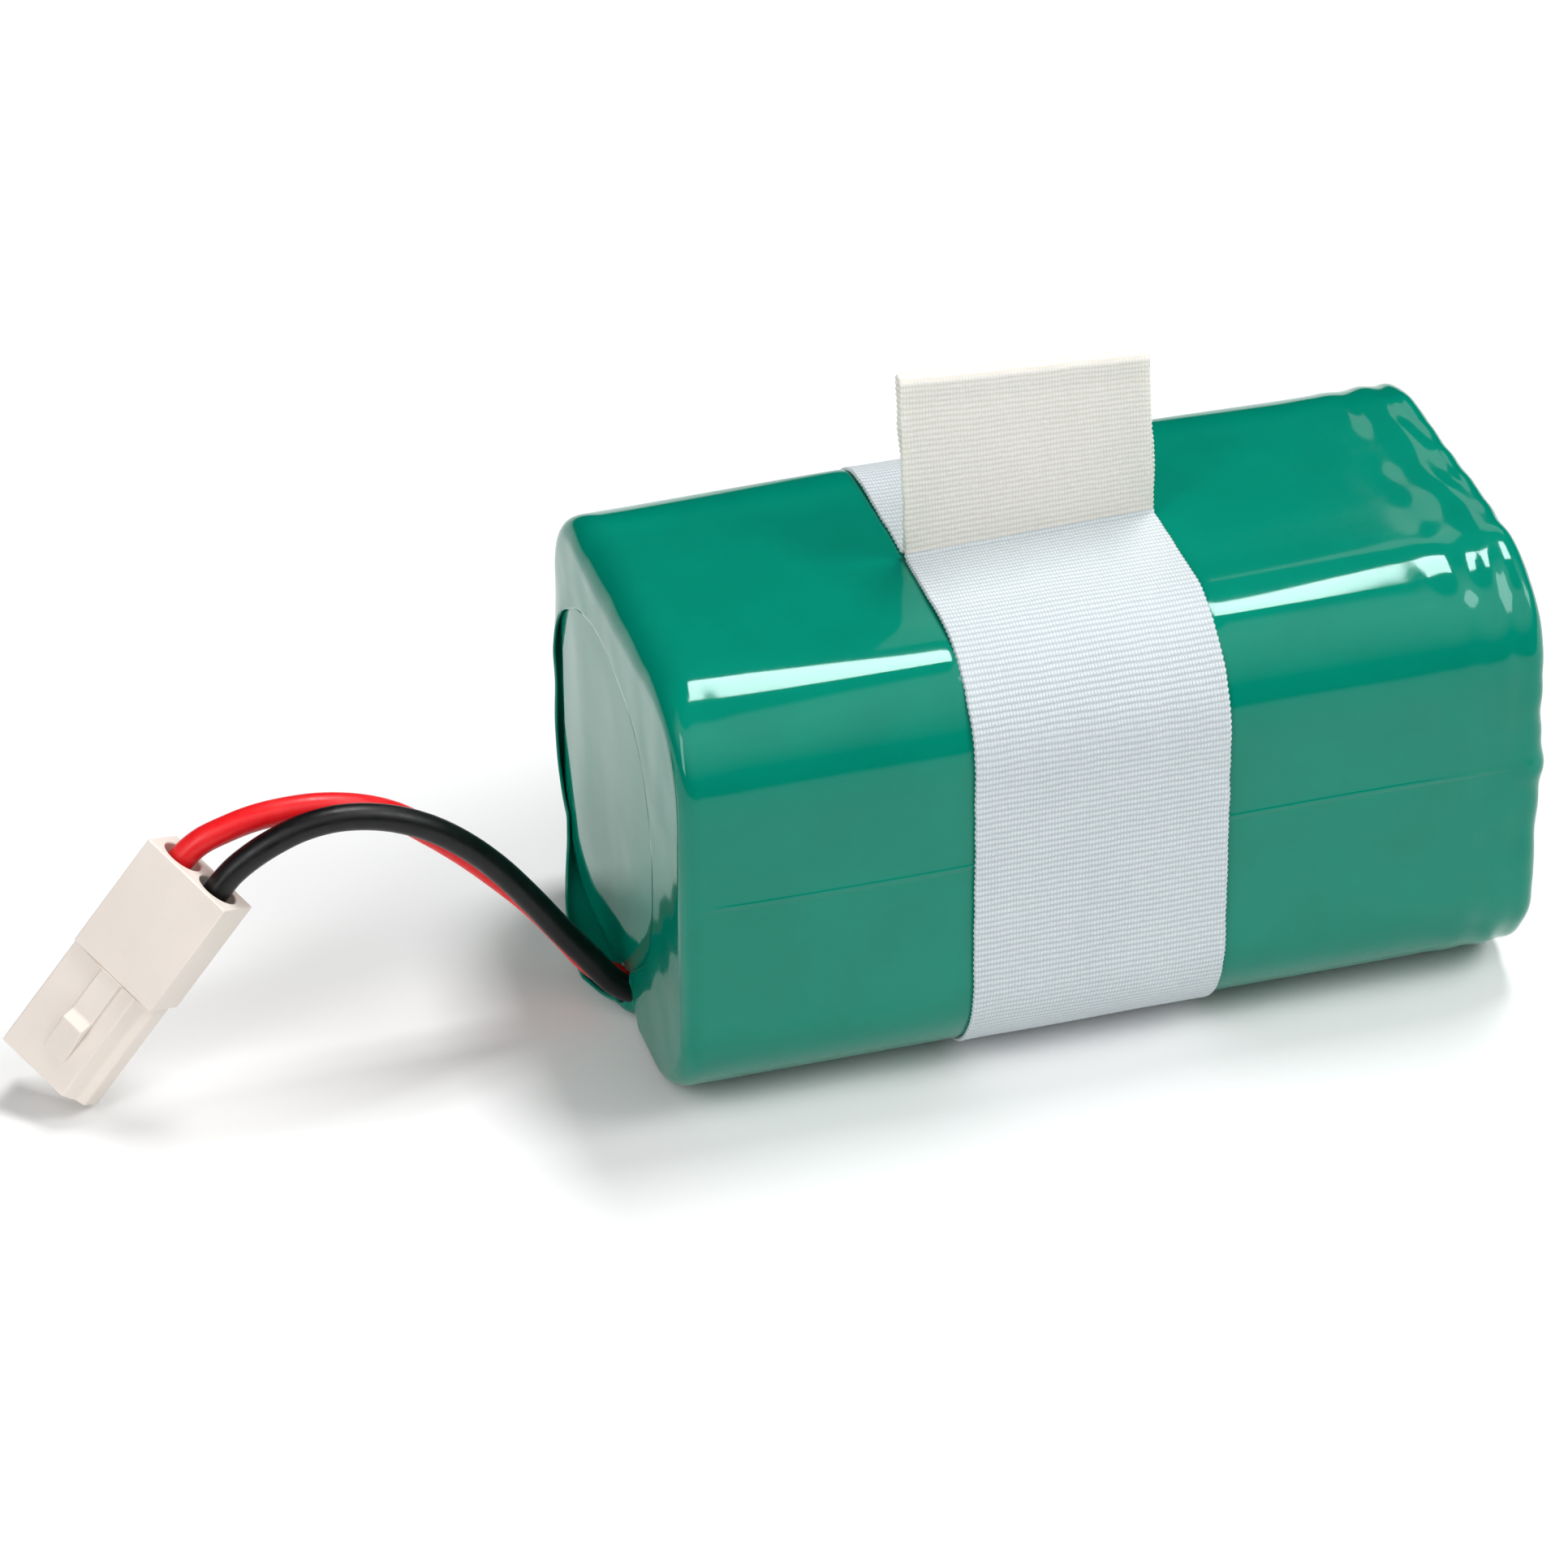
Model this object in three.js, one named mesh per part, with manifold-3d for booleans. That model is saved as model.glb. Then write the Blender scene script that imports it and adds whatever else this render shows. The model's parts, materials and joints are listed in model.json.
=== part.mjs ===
// Rechargeable battery pack: four 18650 cells, two wide and two high, in a shrink sleeve.
// A woven ribbon is wrapped round the middle and stands up as a pull tab, and a red and a
// black lead leave the left end for a two-way plug.
//
// Millimetres. +X runs along the cells, with the leads at the -X end. -Y is the front.
// +Z is up, and the tab stands on top. The origin is under the middle of the pack, on the
// plane that the ribbon's underside rests on.

import * as THREE from 'three';
import { mergeVertices } from 'three/addons/utils/BufferGeometryUtils.js';
import Module from 'manifold-3d';

const wasm = await Module();
wasm.setup();

// ---------------------------------------------------------------- driving dimensions

const PACK_LENGTH = 68.4;
const PACK_WIDTH = 38;
const PACK_HEIGHT = 37;
const PACK_CORNER = 9.3;

const SLEEVE_WALL = 0.25;
const SLEEVE_END_ROUND = 1.6;
const END_OPENING = 28.4;
const LEFT_OPENING_Y = 3.8;
const LEFT_OPENING_Z = 17.6;

const RIBBON_WIDTH = 20;
const RIBBON_THICK = 0.4;
const RIBBON_X = -1.25;
const RIBBON_CLEARANCE = 0.05;

const TAB_Y = -0.7;
const TAB_PLY = 0.35;
const TAB_GLUE = 0.1;
const TAB_TOP_LEFT = 53.8;
const TAB_TOP_RIGHT = 52;
const TAB_LIFT = 0.75;

const CELL_LENGTH = 65;
const CELL_RADIUS = 9.1;
const CELL_SPREAD_Y = 9.4;
const CELL_SPREAD_Z = 9.12;
const CELL_SIDES = 16;
const CAN_RADIUS = 8.98;
const CAN_WALL = 0.28;
const WRAP_FILM = 0.1;
const CAP_RADIUS = 6;
const BUTTON_RADIUS = 4.3;

const STRIP_THICK = 0.15;
const STRIP_WIDTH = 8;
const PAPER_THICK = 0.2;
const BOARD_THICK = 0.55;
const CHIP_HEIGHT = 0.7;
const LAYER_GAP = 0.03;

const LEAD_DIAMETER = 2.1;
const LEAD_SIDES = 8;
const LEAD_STEP = 4.5;
const RED_Y = 0.35;
const BLACK_Y = -2.3;

const PLUG_LENGTH = 20.4;
const PLUG_WIDTH = 8.4;
const PLUG_THICK = 4.6;
const PLUG_PITCH = 3.8;
const PLUG_BORE = 3.3;
const PLUG_NOSE_LENGTH = 10.15;
const PLUG_NOSE_STEP = 0.35;
const PLUG_REAR = [-66.9, 0.2, 18.85];
const PLUG_LEAN = THREE.MathUtils.degToRad(38);
const PLUG_ROLL = THREE.MathUtils.degToRad(-49.3);

// ---------------------------------------------------------------- places worked out

const HALF_LENGTH = PACK_LENGTH / 2;
const RIBBON_GROWTH = RIBBON_THICK + RIBBON_CLEARANCE;
const MID_Z = RIBBON_GROWTH + PACK_HEIGHT / 2;
const RIBBON_TOP = PACK_HEIGHT + 2 * RIBBON_GROWTH;

// Layers between the cells and the sleeve's ends, from the cells outwards.
const CELLS_LEFT = -31.95;
const CELLS_RIGHT = CELLS_LEFT + CELL_LENGTH;
const LEFT_STRIP_X = CELLS_LEFT - LAYER_GAP - STRIP_THICK;
const LEFT_PAPER_X = LEFT_STRIP_X - LAYER_GAP - PAPER_THICK;
const BOARD_X = LEFT_PAPER_X - LAYER_GAP - BOARD_THICK;
const CHIP_X = BOARD_X - LAYER_GAP - CHIP_HEIGHT;
const LEFT_SHEET_X = CHIP_X - LAYER_GAP - PAPER_THICK;
const RIGHT_STRIP_X = CELLS_RIGHT + LAYER_GAP;
const RIGHT_PAPER_X = RIGHT_STRIP_X + STRIP_THICK + LAYER_GAP;
const RIGHT_SHEET_X = HALF_LENGTH - SLEEVE_WALL - LAYER_GAP - PAPER_THICK;

// The cells in their order in series: cell 1 is at the front and low down, and the
// others follow clockwise, seen from the leads. Odd cells have their cap to the right.
const CELLS = [
  { y: -CELL_SPREAD_Y, z: MID_Z - CELL_SPREAD_Z, capRight: true },
  { y: -CELL_SPREAD_Y, z: MID_Z + CELL_SPREAD_Z, capRight: false },
  { y: CELL_SPREAD_Y, z: MID_Z + CELL_SPREAD_Z, capRight: true },
  { y: CELL_SPREAD_Y, z: MID_Z - CELL_SPREAD_Z, capRight: false },
];

// The leads' centrelines, from inside the sleeve's left end to inside the plug.
const RED_ROUTE = [
  [-33.0, RED_Y, 1.95], [-34.4, RED_Y, 2.3], [-35.7, 0.45, 3.2], [-36.9, 0.6, 4.6],
  [-38.4, 0.75, 6.8], [-40.9, 0.8, 10.3], [-43.6, 0.85, 13.4], [-46.2, 0.9, 16.1],
  [-48.7, 0.9, 18.4], [-51.4, 1.0, 20.5], [-54.2, 1.0, 21.8], [-57.3, 1.1, 22.45],
  [-60.0, 1.2, 22.5], [-62.5, 1.3, 22.2], [-64.7, 1.4, 21.55], [-66.5, 1.55, 20.75],
];
const BLACK_ROUTE = [
  [-33.0, BLACK_Y, 2.35], [-34.4, BLACK_Y, 3.0], [-35.6, -2.2, 4.1], [-37.2, -2.0, 6.3],
  [-39.2, -1.8, 9.0], [-41.7, -1.6, 12.6], [-44.2, -1.55, 15.9], [-46.7, -1.5, 18.5],
  [-49.2, -1.4, 20.4], [-51.8, -1.3, 21.7], [-54.3, -1.3, 22.45], [-56.7, -1.3, 22.7],
  [-59.1, -1.3, 22.4], [-61.2, -1.3, 21.65], [-63.1, -1.3, 20.65], [-64.7, -1.25, 19.45],
];
const LEAD_IN_BORE = 4;

// ---------------------------------------------------------------- materials

const finish = (color, roughness, metalness) => (
  new THREE.MeshStandardMaterial({ color, roughness, metalness })
);

const FINISHES = {
  sleeve: finish(0x00947a, 0.16, 0),
  endSheet: finish(0x0a9c84, 0.12, 0),
  paper: finish(0x9fb8a0, 0.85, 0),
  wrap: finish(0x2f6fb5, 0.3, 0),
  can: finish(0xb9bcc0, 0.3, 1),
  cap: finish(0xc9cbce, 0.25, 1),
  gasket: finish(0x2a2c30, 0.6, 0),
  roll: finish(0x5a4438, 0.7, 0),
  nickel: finish(0xc2bfb6, 0.35, 1),
  board: finish(0x1d5b34, 0.4, 0),
  chip: finish(0x1b1b1d, 0.5, 0),
  capacitor: finish(0xa88458, 0.5, 0),
  solder: finish(0xd0d2d4, 0.3, 1),
  ribbon: finish(0xdfe6e8, 0.85, 0),
  tab: finish(0xe8e6df, 0.9, 0),
  glue: finish(0xe6dcc0, 0.3, 0),
  redLead: finish(0xe31c26, 0.35, 0),
  blackLead: finish(0x0b0b0c, 0.35, 0),
  plug: finish(0xe9e2da, 0.45, 0),
  terminal: finish(0xd4cfc2, 0.3, 1),
};

// ---------------------------------------------------------------- shape helpers

const pack = new THREE.Group();

function addPiece(name, geometry, material, parent = pack) {
  const mesh = new THREE.Mesh(geometry, material);
  mesh.name = name;
  parent.add(mesh);
  return mesh;
}

// A rectangle with round corners, centred on (x, y).
function roundedRect(width, height, radius, x = 0, y = 0, Form = THREE.Shape) {
  const right = x + width / 2 - radius;
  const left = x - width / 2 + radius;
  const top = y + height / 2 - radius;
  const bottom = y - height / 2 + radius;
  const outline = new Form();
  outline.absarc(right, bottom, radius, -Math.PI / 2, 0);
  outline.absarc(right, top, radius, 0, Math.PI / 2);
  outline.absarc(left, top, radius, Math.PI / 2, Math.PI);
  outline.absarc(left, bottom, radius, Math.PI, 1.5 * Math.PI);
  outline.closePath();
  return outline;
}

// Extrudes an outline drawn in (Y, Z) along +X, from x for the given length.
function alongX(outline, x, length, { curveSegments = 6, round = 0, roundSegments = 3 } = {}) {
  const geometry = new THREE.ExtrudeGeometry(outline, {
    depth: length - 2 * round,
    curveSegments,
    bevelEnabled: round > 0,
    bevelThickness: round,
    bevelSize: round,
    bevelOffset: -round,
    bevelSegments: roundSegments,
  });
  const turn = new THREE.Matrix4().makeBasis(
    new THREE.Vector3(0, 1, 0), new THREE.Vector3(0, 0, 1), new THREE.Vector3(1, 0, 0));
  geometry.applyMatrix4(turn);
  geometry.translate(x + round, 0, 0);
  return geometry;
}

// Extrudes an outline drawn in (X, Z) along -Y, from y for the given width.
function acrossY(outline, y, width, curveSegments = 4) {
  const geometry = new THREE.ExtrudeGeometry(outline, {
    depth: width, curveSegments, bevelEnabled: false,
  });
  geometry.rotateX(Math.PI / 2);
  geometry.translate(0, y, 0);
  return geometry;
}

function box(x0, x1, y0, y1, z0, z1) {
  const geometry = new THREE.BoxGeometry(x1 - x0, y1 - y0, z1 - z0);
  geometry.translate((x0 + x1) / 2, (y0 + y1) / 2, (z0 + z1) / 2);
  return geometry;
}

// Turns a closed profile of [radius, height] points round the Y axis.
function turned(profile, sides) {
  const points = profile.map(([radius, height]) => new THREE.Vector2(radius, height));
  if (profile[0][0] > 0) points.push(points[0].clone());
  return new THREE.LatheGeometry(points, sides);
}

function toSolid(geometry) {
  const bare = geometry.clone();
  bare.deleteAttribute('normal');
  bare.deleteAttribute('uv');
  const merged = mergeVertices(bare, 1e-4);
  return new wasm.Manifold(new wasm.Mesh({
    numProp: 3,
    vertProperties: merged.attributes.position.array,
    triVerts: Uint32Array.from(merged.index.array),
  }));
}

function toGeometry(solid) {
  const { vertProperties, triVerts } = solid.getMesh();
  const geometry = new THREE.BufferGeometry();
  geometry.setAttribute('position', new THREE.BufferAttribute(vertProperties, 3));
  geometry.setIndex(new THREE.BufferAttribute(triVerts, 1));
  geometry.computeVertexNormals();
  return geometry;
}

function cut(geometry, ...cutters) {
  const left = cutters.reduce((solid, cutter) => solid.subtract(toSolid(cutter)), toSolid(geometry));
  return toGeometry(left);
}

// ---------------------------------------------------------------- shrink sleeve

// A thin skin with rounded ends, open over the middle of each end. At the left it is
// slotted for the leads, and a lip of it is drawn out under them.
function shrinkSleeve() {
  const skin = (shrink) => alongX(
    roundedRect(PACK_WIDTH - 2 * shrink, PACK_HEIGHT - 2 * shrink, PACK_CORNER - shrink, 0, MID_Z),
    shrink - HALF_LENGTH,
    PACK_LENGTH - 2 * shrink,
    { round: SLEEVE_END_ROUND - shrink });
  const reach = 4;
  const openingRadius = 13;
  const opening = (x, y, z) => alongX(
    roundedRect(END_OPENING, END_OPENING, openingRadius, y, z), x, reach, { curveSegments: 7 });
  const slotWidth = 6.4;
  const slotLow = 1.1;
  const slotHigh = 7;
  const slot = alongX(
    roundedRect(slotWidth, slotHigh - slotLow, 1, (RED_Y + BLACK_Y) / 2, (slotLow + slotHigh) / 2),
    -HALF_LENGTH - 1, SLEEVE_WALL + 2, { curveSegments: 3 });
  const hollow = cut(
    skin(0), skin(SLEEVE_WALL),
    opening(-HALF_LENGTH - reach / 2, LEFT_OPENING_Y, LEFT_OPENING_Z),
    opening(HALF_LENGTH - reach / 2, 0, MID_Z),
    slot);
  return toGeometry(toSolid(hollow).add(toSolid(leadLip())));
}

// The lip's section: from inside the sleeve's floor, out and a little upwards.
function leadLip() {
  const floor = RIBBON_GROWTH;
  const inside = -32.4;
  const bend = -35.2;
  const tip = -36.6;
  const rise = 0.7;
  const section = new THREE.Shape();
  section.moveTo(inside, floor + 0.05);
  section.quadraticCurveTo(bend, floor, tip, floor + rise);
  section.lineTo(tip, floor + rise + SLEEVE_WALL);
  section.quadraticCurveTo(bend, floor + SLEEVE_WALL, inside, floor + SLEEVE_WALL - 0.05);
  section.closePath();
  const width = 15;
  const backEdge = 9.5;
  return acrossY(section, backEdge, width);
}

addPiece('shrink_sleeve', shrinkSleeve(), FINISHES.sleeve);

// ---------------------------------------------------------------- end sheets and insulators

const SHEET_MARGIN = 3.6;
const sheetOutline = roundedRect(
  PACK_WIDTH - SHEET_MARGIN, PACK_HEIGHT - SHEET_MARGIN, PACK_CORNER - SHEET_MARGIN / 2, 0, MID_Z);
const leadNotch = box(-HALF_LENGTH, BOARD_X, BLACK_Y - 2, RED_Y + 2, 0, 4.2);

addPiece('left_end_sheet', cut(alongX(sheetOutline, LEFT_SHEET_X, PAPER_THICK), leadNotch),
  FINISHES.endSheet);
addPiece('right_end_sheet', alongX(sheetOutline, RIGHT_SHEET_X, PAPER_THICK), FINISHES.endSheet);
addPiece('left_insulator', alongX(sheetOutline, LEFT_PAPER_X, PAPER_THICK), FINISHES.paper);
addPiece('right_insulator', alongX(sheetOutline, RIGHT_PAPER_X, PAPER_THICK), FINISHES.paper);

// ---------------------------------------------------------------- cells

// Profiles of one cell, from its flat negative end at 0 to the top of its cap.
const RIM_HEIGHT = 0.8;
const CAN_BASE = WRAP_FILM + 0.02;
const CAN_TOP = CELL_LENGTH - RIM_HEIGHT;
const CAN_BORE = CAN_RADIUS - CAN_WALL;
const RIM_BORE = CAP_RADIUS + 0.6;
const WRAP_BORE = CELL_RADIUS - WRAP_FILM;
const WRAP_LIP = CELL_RADIUS - 1.7;
const WRAP_TOP = CAN_TOP + WRAP_FILM + 0.02;
const ROLL_RADIUS = CAN_BORE - 0.2;
const ROLL_BORE = 1.5;
const ROLL_BASE = 1.2;
const ROLL_TOP = CAN_TOP - 2.6;
const GASKET_TOP = CAN_TOP - 0.4;
const GASKET_BASE = CAN_TOP - 1.1;
const FLANGE_BASE = CAN_TOP - 1;
const FLANGE_TOP = CAN_TOP - 0.5;
const CELL_PROFILES = {
  can: [
    [0, CAN_BASE], [CAN_RADIUS, CAN_BASE], [CAN_RADIUS, CAN_TOP], [RIM_BORE, CAN_TOP],
    [RIM_BORE, CAN_TOP - CAN_WALL], [CAN_BORE, CAN_TOP - CAN_WALL],
    [CAN_BORE, CAN_BASE + CAN_WALL], [0, CAN_BASE + CAN_WALL],
  ],
  wrap: [
    [WRAP_LIP, 0], [CELL_RADIUS, 0], [CELL_RADIUS, WRAP_TOP], [WRAP_LIP, WRAP_TOP],
    [WRAP_LIP, WRAP_TOP - WRAP_FILM], [WRAP_BORE, WRAP_TOP - WRAP_FILM],
    [WRAP_BORE, WRAP_FILM], [WRAP_LIP, WRAP_FILM],
  ],
  electrode_roll: [
    [ROLL_BORE, ROLL_BASE], [ROLL_RADIUS, ROLL_BASE], [ROLL_RADIUS, ROLL_TOP], [ROLL_BORE, ROLL_TOP],
  ],
  gasket: [
    [CAP_RADIUS + 0.05, GASKET_BASE], [CAN_BORE - 0.1, GASKET_BASE],
    [CAN_BORE - 0.1, GASKET_TOP], [CAP_RADIUS + 0.05, GASKET_TOP],
  ],
  cap: [
    [0, FLANGE_BASE], [CAP_RADIUS, FLANGE_BASE], [CAP_RADIUS, FLANGE_TOP],
    [BUTTON_RADIUS, FLANGE_TOP], [BUTTON_RADIUS - 0.4, CELL_LENGTH], [0, CELL_LENGTH],
  ],
};
const CELL_FINISHES = {
  can: FINISHES.can,
  wrap: FINISHES.wrap,
  electrode_roll: FINISHES.roll,
  gasket: FINISHES.gasket,
  cap: FINISHES.cap,
};

CELLS.forEach(({ y, z, capRight }, index) => {
  const cell = new THREE.Group();
  cell.position.set(capRight ? CELLS_LEFT : CELLS_RIGHT, y, z);
  cell.rotation.z = capRight ? -Math.PI / 2 : Math.PI / 2;
  for (const [piece, profile] of Object.entries(CELL_PROFILES)) {
    addPiece(`cell_${index + 1}_${piece}`, turned(profile, CELL_SIDES), CELL_FINISHES[piece], cell);
  }
  pack.add(cell);
});

// ---------------------------------------------------------------- nickel strips

const WELD_SLOT_LENGTH = 4;
const WELD_SLOT_WIDTH = 0.8;

// A strip with one weld slot over each cell that it joins.
function nickelStrip(cells, x, tongue) {
  const meanY = cells.reduce((sum, cell) => sum + cell.y, 0) / cells.length;
  const meanZ = cells.reduce((sum, cell) => sum + cell.z, 0) / cells.length;
  const spanY = Math.abs(cells[0].y - cells[cells.length - 1].y) + STRIP_WIDTH;
  const spanZ = Math.abs(cells[0].z - cells[cells.length - 1].z) + STRIP_WIDTH;
  const outline = roundedRect(spanY, spanZ, 1, meanY, meanZ);
  for (const { y, z } of cells) {
    outline.holes.push(
      roundedRect(WELD_SLOT_WIDTH, WELD_SLOT_LENGTH, WELD_SLOT_WIDTH / 2 - 0.01, y, z, THREE.Path));
  }
  const strip = alongX(outline, x, STRIP_THICK, { curveSegments: 2 });
  if (!tongue) return strip;
  const inward = -Math.sign(meanY);
  const root = meanY + inward * (STRIP_WIDTH / 2 - 0.5);
  const end = inward * -0.6;
  const blade = box(x, x + STRIP_THICK, Math.min(root, end), Math.max(root, end), tongue - 1.5,
    tongue + 1.5);
  return toGeometry(toSolid(strip).add(toSolid(blade)));
}

const [CELL_1, CELL_2, CELL_3, CELL_4] = CELLS;
const SENSE_Z = [MID_Z - 1.6, MID_Z + 1.6];
addPiece('strip_1_2', nickelStrip([CELL_1, CELL_2], RIGHT_STRIP_X, SENSE_Z[0]), FINISHES.nickel);
addPiece('strip_3_4', nickelStrip([CELL_3, CELL_4], RIGHT_STRIP_X, SENSE_Z[1]), FINISHES.nickel);
addPiece('strip_2_3', nickelStrip([CELL_2, CELL_3], LEFT_STRIP_X), FINISHES.nickel);
addPiece('strip_negative', nickelStrip([CELL_1], LEFT_STRIP_X), FINISHES.nickel);
addPiece('strip_positive', nickelStrip([CELL_4], LEFT_STRIP_X), FINISHES.nickel);

// ---------------------------------------------------------------- protection board

const BOARD_WIDTH = 33;
const BOARD_HEIGHT = 21;
const BOARD_Z = 17.5;
const BOARD_FACE = BOARD_X - LAYER_GAP;
addPiece('protection_board',
  alongX(roundedRect(BOARD_WIDTH, BOARD_HEIGHT, 1.5, 0, BOARD_Z), BOARD_X, BOARD_THICK,
    { curveSegments: 3 }),
  FINISHES.board);

function onBoard(name, y, z, width, height, rise, material) {
  const outline = roundedRect(width, height, 0.2, y, z);
  addPiece(name, alongX(outline, BOARD_FACE - rise, rise, { curveSegments: 1 }), material);
}

onBoard('control_chip', 7, 20, 5, 4.4, CHIP_HEIGHT, FINISHES.chip);
onBoard('shunt_resistor', 0, 12, 6.4, 3.2, 0.55, FINISHES.chip);
[-11, -4.5].forEach((y, index) => {
  onBoard(`mosfet_${index + 1}`, y, 20, 5, 4, CHIP_HEIGHT, FINISHES.chip);
});
[-1, 1].forEach((side, index) => {
  onBoard(`capacitor_${index + 1}`, 7 + side * 4, 15.5, 1.3, 2, 0.6, FINISHES.capacitor);
});

// Flattened beads that hold the leads' tinned ends to the board.
function solderBead(name, y) {
  const bead = new THREE.SphereGeometry(1, 10, 6);
  bead.scale(CHIP_HEIGHT / 2, 0.9, 1.1);
  bead.translate(BOARD_FACE - CHIP_HEIGHT / 2, y, BOARD_Z - BOARD_HEIGHT / 2 + 1.4);
  addPiece(name, bead, FINISHES.solder);
}

solderBead('red_solder', RED_Y);
solderBead('black_solder', BLACK_Y);

// ---------------------------------------------------------------- sense wires

// Each runs in the channel between the four cells, from the board to a strip's tongue.
const SENSE_DIAMETER = 1.2;
const SENSE_SIDES = 8;
SENSE_Z.forEach((z, index) => {
  const length = RIGHT_STRIP_X - LEFT_PAPER_X - PAPER_THICK - 2 * LAYER_GAP;
  const wire = new THREE.CylinderGeometry(SENSE_DIAMETER / 2, SENSE_DIAMETER / 2, length, SENSE_SIDES);
  const mesh = addPiece(`sense_wire_${index + 1}`, wire, index ? FINISHES.blackLead : FINISHES.redLead);
  mesh.rotation.z = -Math.PI / 2;
  mesh.position.set((LEFT_PAPER_X + PAPER_THICK + RIGHT_STRIP_X) / 2, 0, z);
});

// ---------------------------------------------------------------- ribbon and pull tab

function ribbonBand() {
  const loop = (growth, Form) => roundedRect(
    PACK_WIDTH + 2 * growth, PACK_HEIGHT + 2 * growth, PACK_CORNER + growth, 0, MID_Z, Form);
  const ring = loop(RIBBON_GROWTH, THREE.Shape);
  ring.holes.push(loop(RIBBON_CLEARANCE, THREE.Path));
  return alongX(ring, RIBBON_X - RIBBON_WIDTH / 2, RIBBON_WIDTH);
}

addPiece('ribbon_band', ribbonBand(), FINISHES.ribbon);

// The tab is the ribbon doubled over, with the fold at the top and glue between its plies.
// It folds down about the line where it leaves the band.
const TAB_FOOT = RIBBON_TOP + TAB_LIFT;
const TAB_LEFT = RIBBON_X - RIBBON_WIDTH / 2 - 0.25;
const TAB_RIGHT = RIBBON_X + RIBBON_WIDTH / 2 + 0.15;
const TAB_HALF = TAB_PLY + TAB_GLUE;

function tabSheet(back, front, foot, lowered) {
  const outline = new THREE.Shape();
  outline.moveTo(TAB_LEFT, foot);
  outline.lineTo(TAB_RIGHT, foot);
  outline.lineTo(TAB_RIGHT, TAB_TOP_RIGHT - lowered);
  outline.lineTo(TAB_LEFT, TAB_TOP_LEFT - lowered);
  outline.closePath();
  return acrossY(outline, back, back - front);
}

const TAB_FOLD = 0.5;
addPiece('pull_tab',
  cut(tabSheet(TAB_Y + TAB_HALF, TAB_Y - TAB_HALF, TAB_FOOT, 0),
    box(TAB_LEFT - 1, TAB_RIGHT + 1, TAB_Y - TAB_GLUE, TAB_Y + TAB_GLUE,
      TAB_FOOT - 1, TAB_TOP_RIGHT - TAB_FOLD)),
  FINISHES.tab);
addPiece('tab_glue',
  box(TAB_LEFT + 0.5, TAB_RIGHT - 0.5, TAB_Y - TAB_GLUE + LAYER_GAP, TAB_Y + TAB_GLUE - LAYER_GAP,
    TAB_FOOT + 0.3, TAB_TOP_RIGHT - TAB_FOLD - LAYER_GAP),
  FINISHES.glue);

// ---------------------------------------------------------------- plug

// Drawn along +Z from its nose at -PLUG_LENGTH to its rear face at 0. -Y is its latch side.
const plug = new THREE.Group();
plug.position.fromArray(PLUG_REAR);
plug.rotation.set(0, PLUG_LEAN, PLUG_ROLL, 'YXZ');
plug.updateMatrixWorld();
pack.add(plug);

const NOSE_BORE = 2.2;
const KEY_WIDTH = 1.4;
const KEY_DEPTH = 1.7;
const LEDGE_WIDTH = 0.7;
const LEDGE_FALL = 0.4;
const BORE_DEPTH = 9.5;
const LATCH_WIDTH = 2.1;
const LATCH_RISE = 0.65;
const LATCH_FROM_NOSE = { foot: 2, peak: 5.3, heel: 6.1 };

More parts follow.
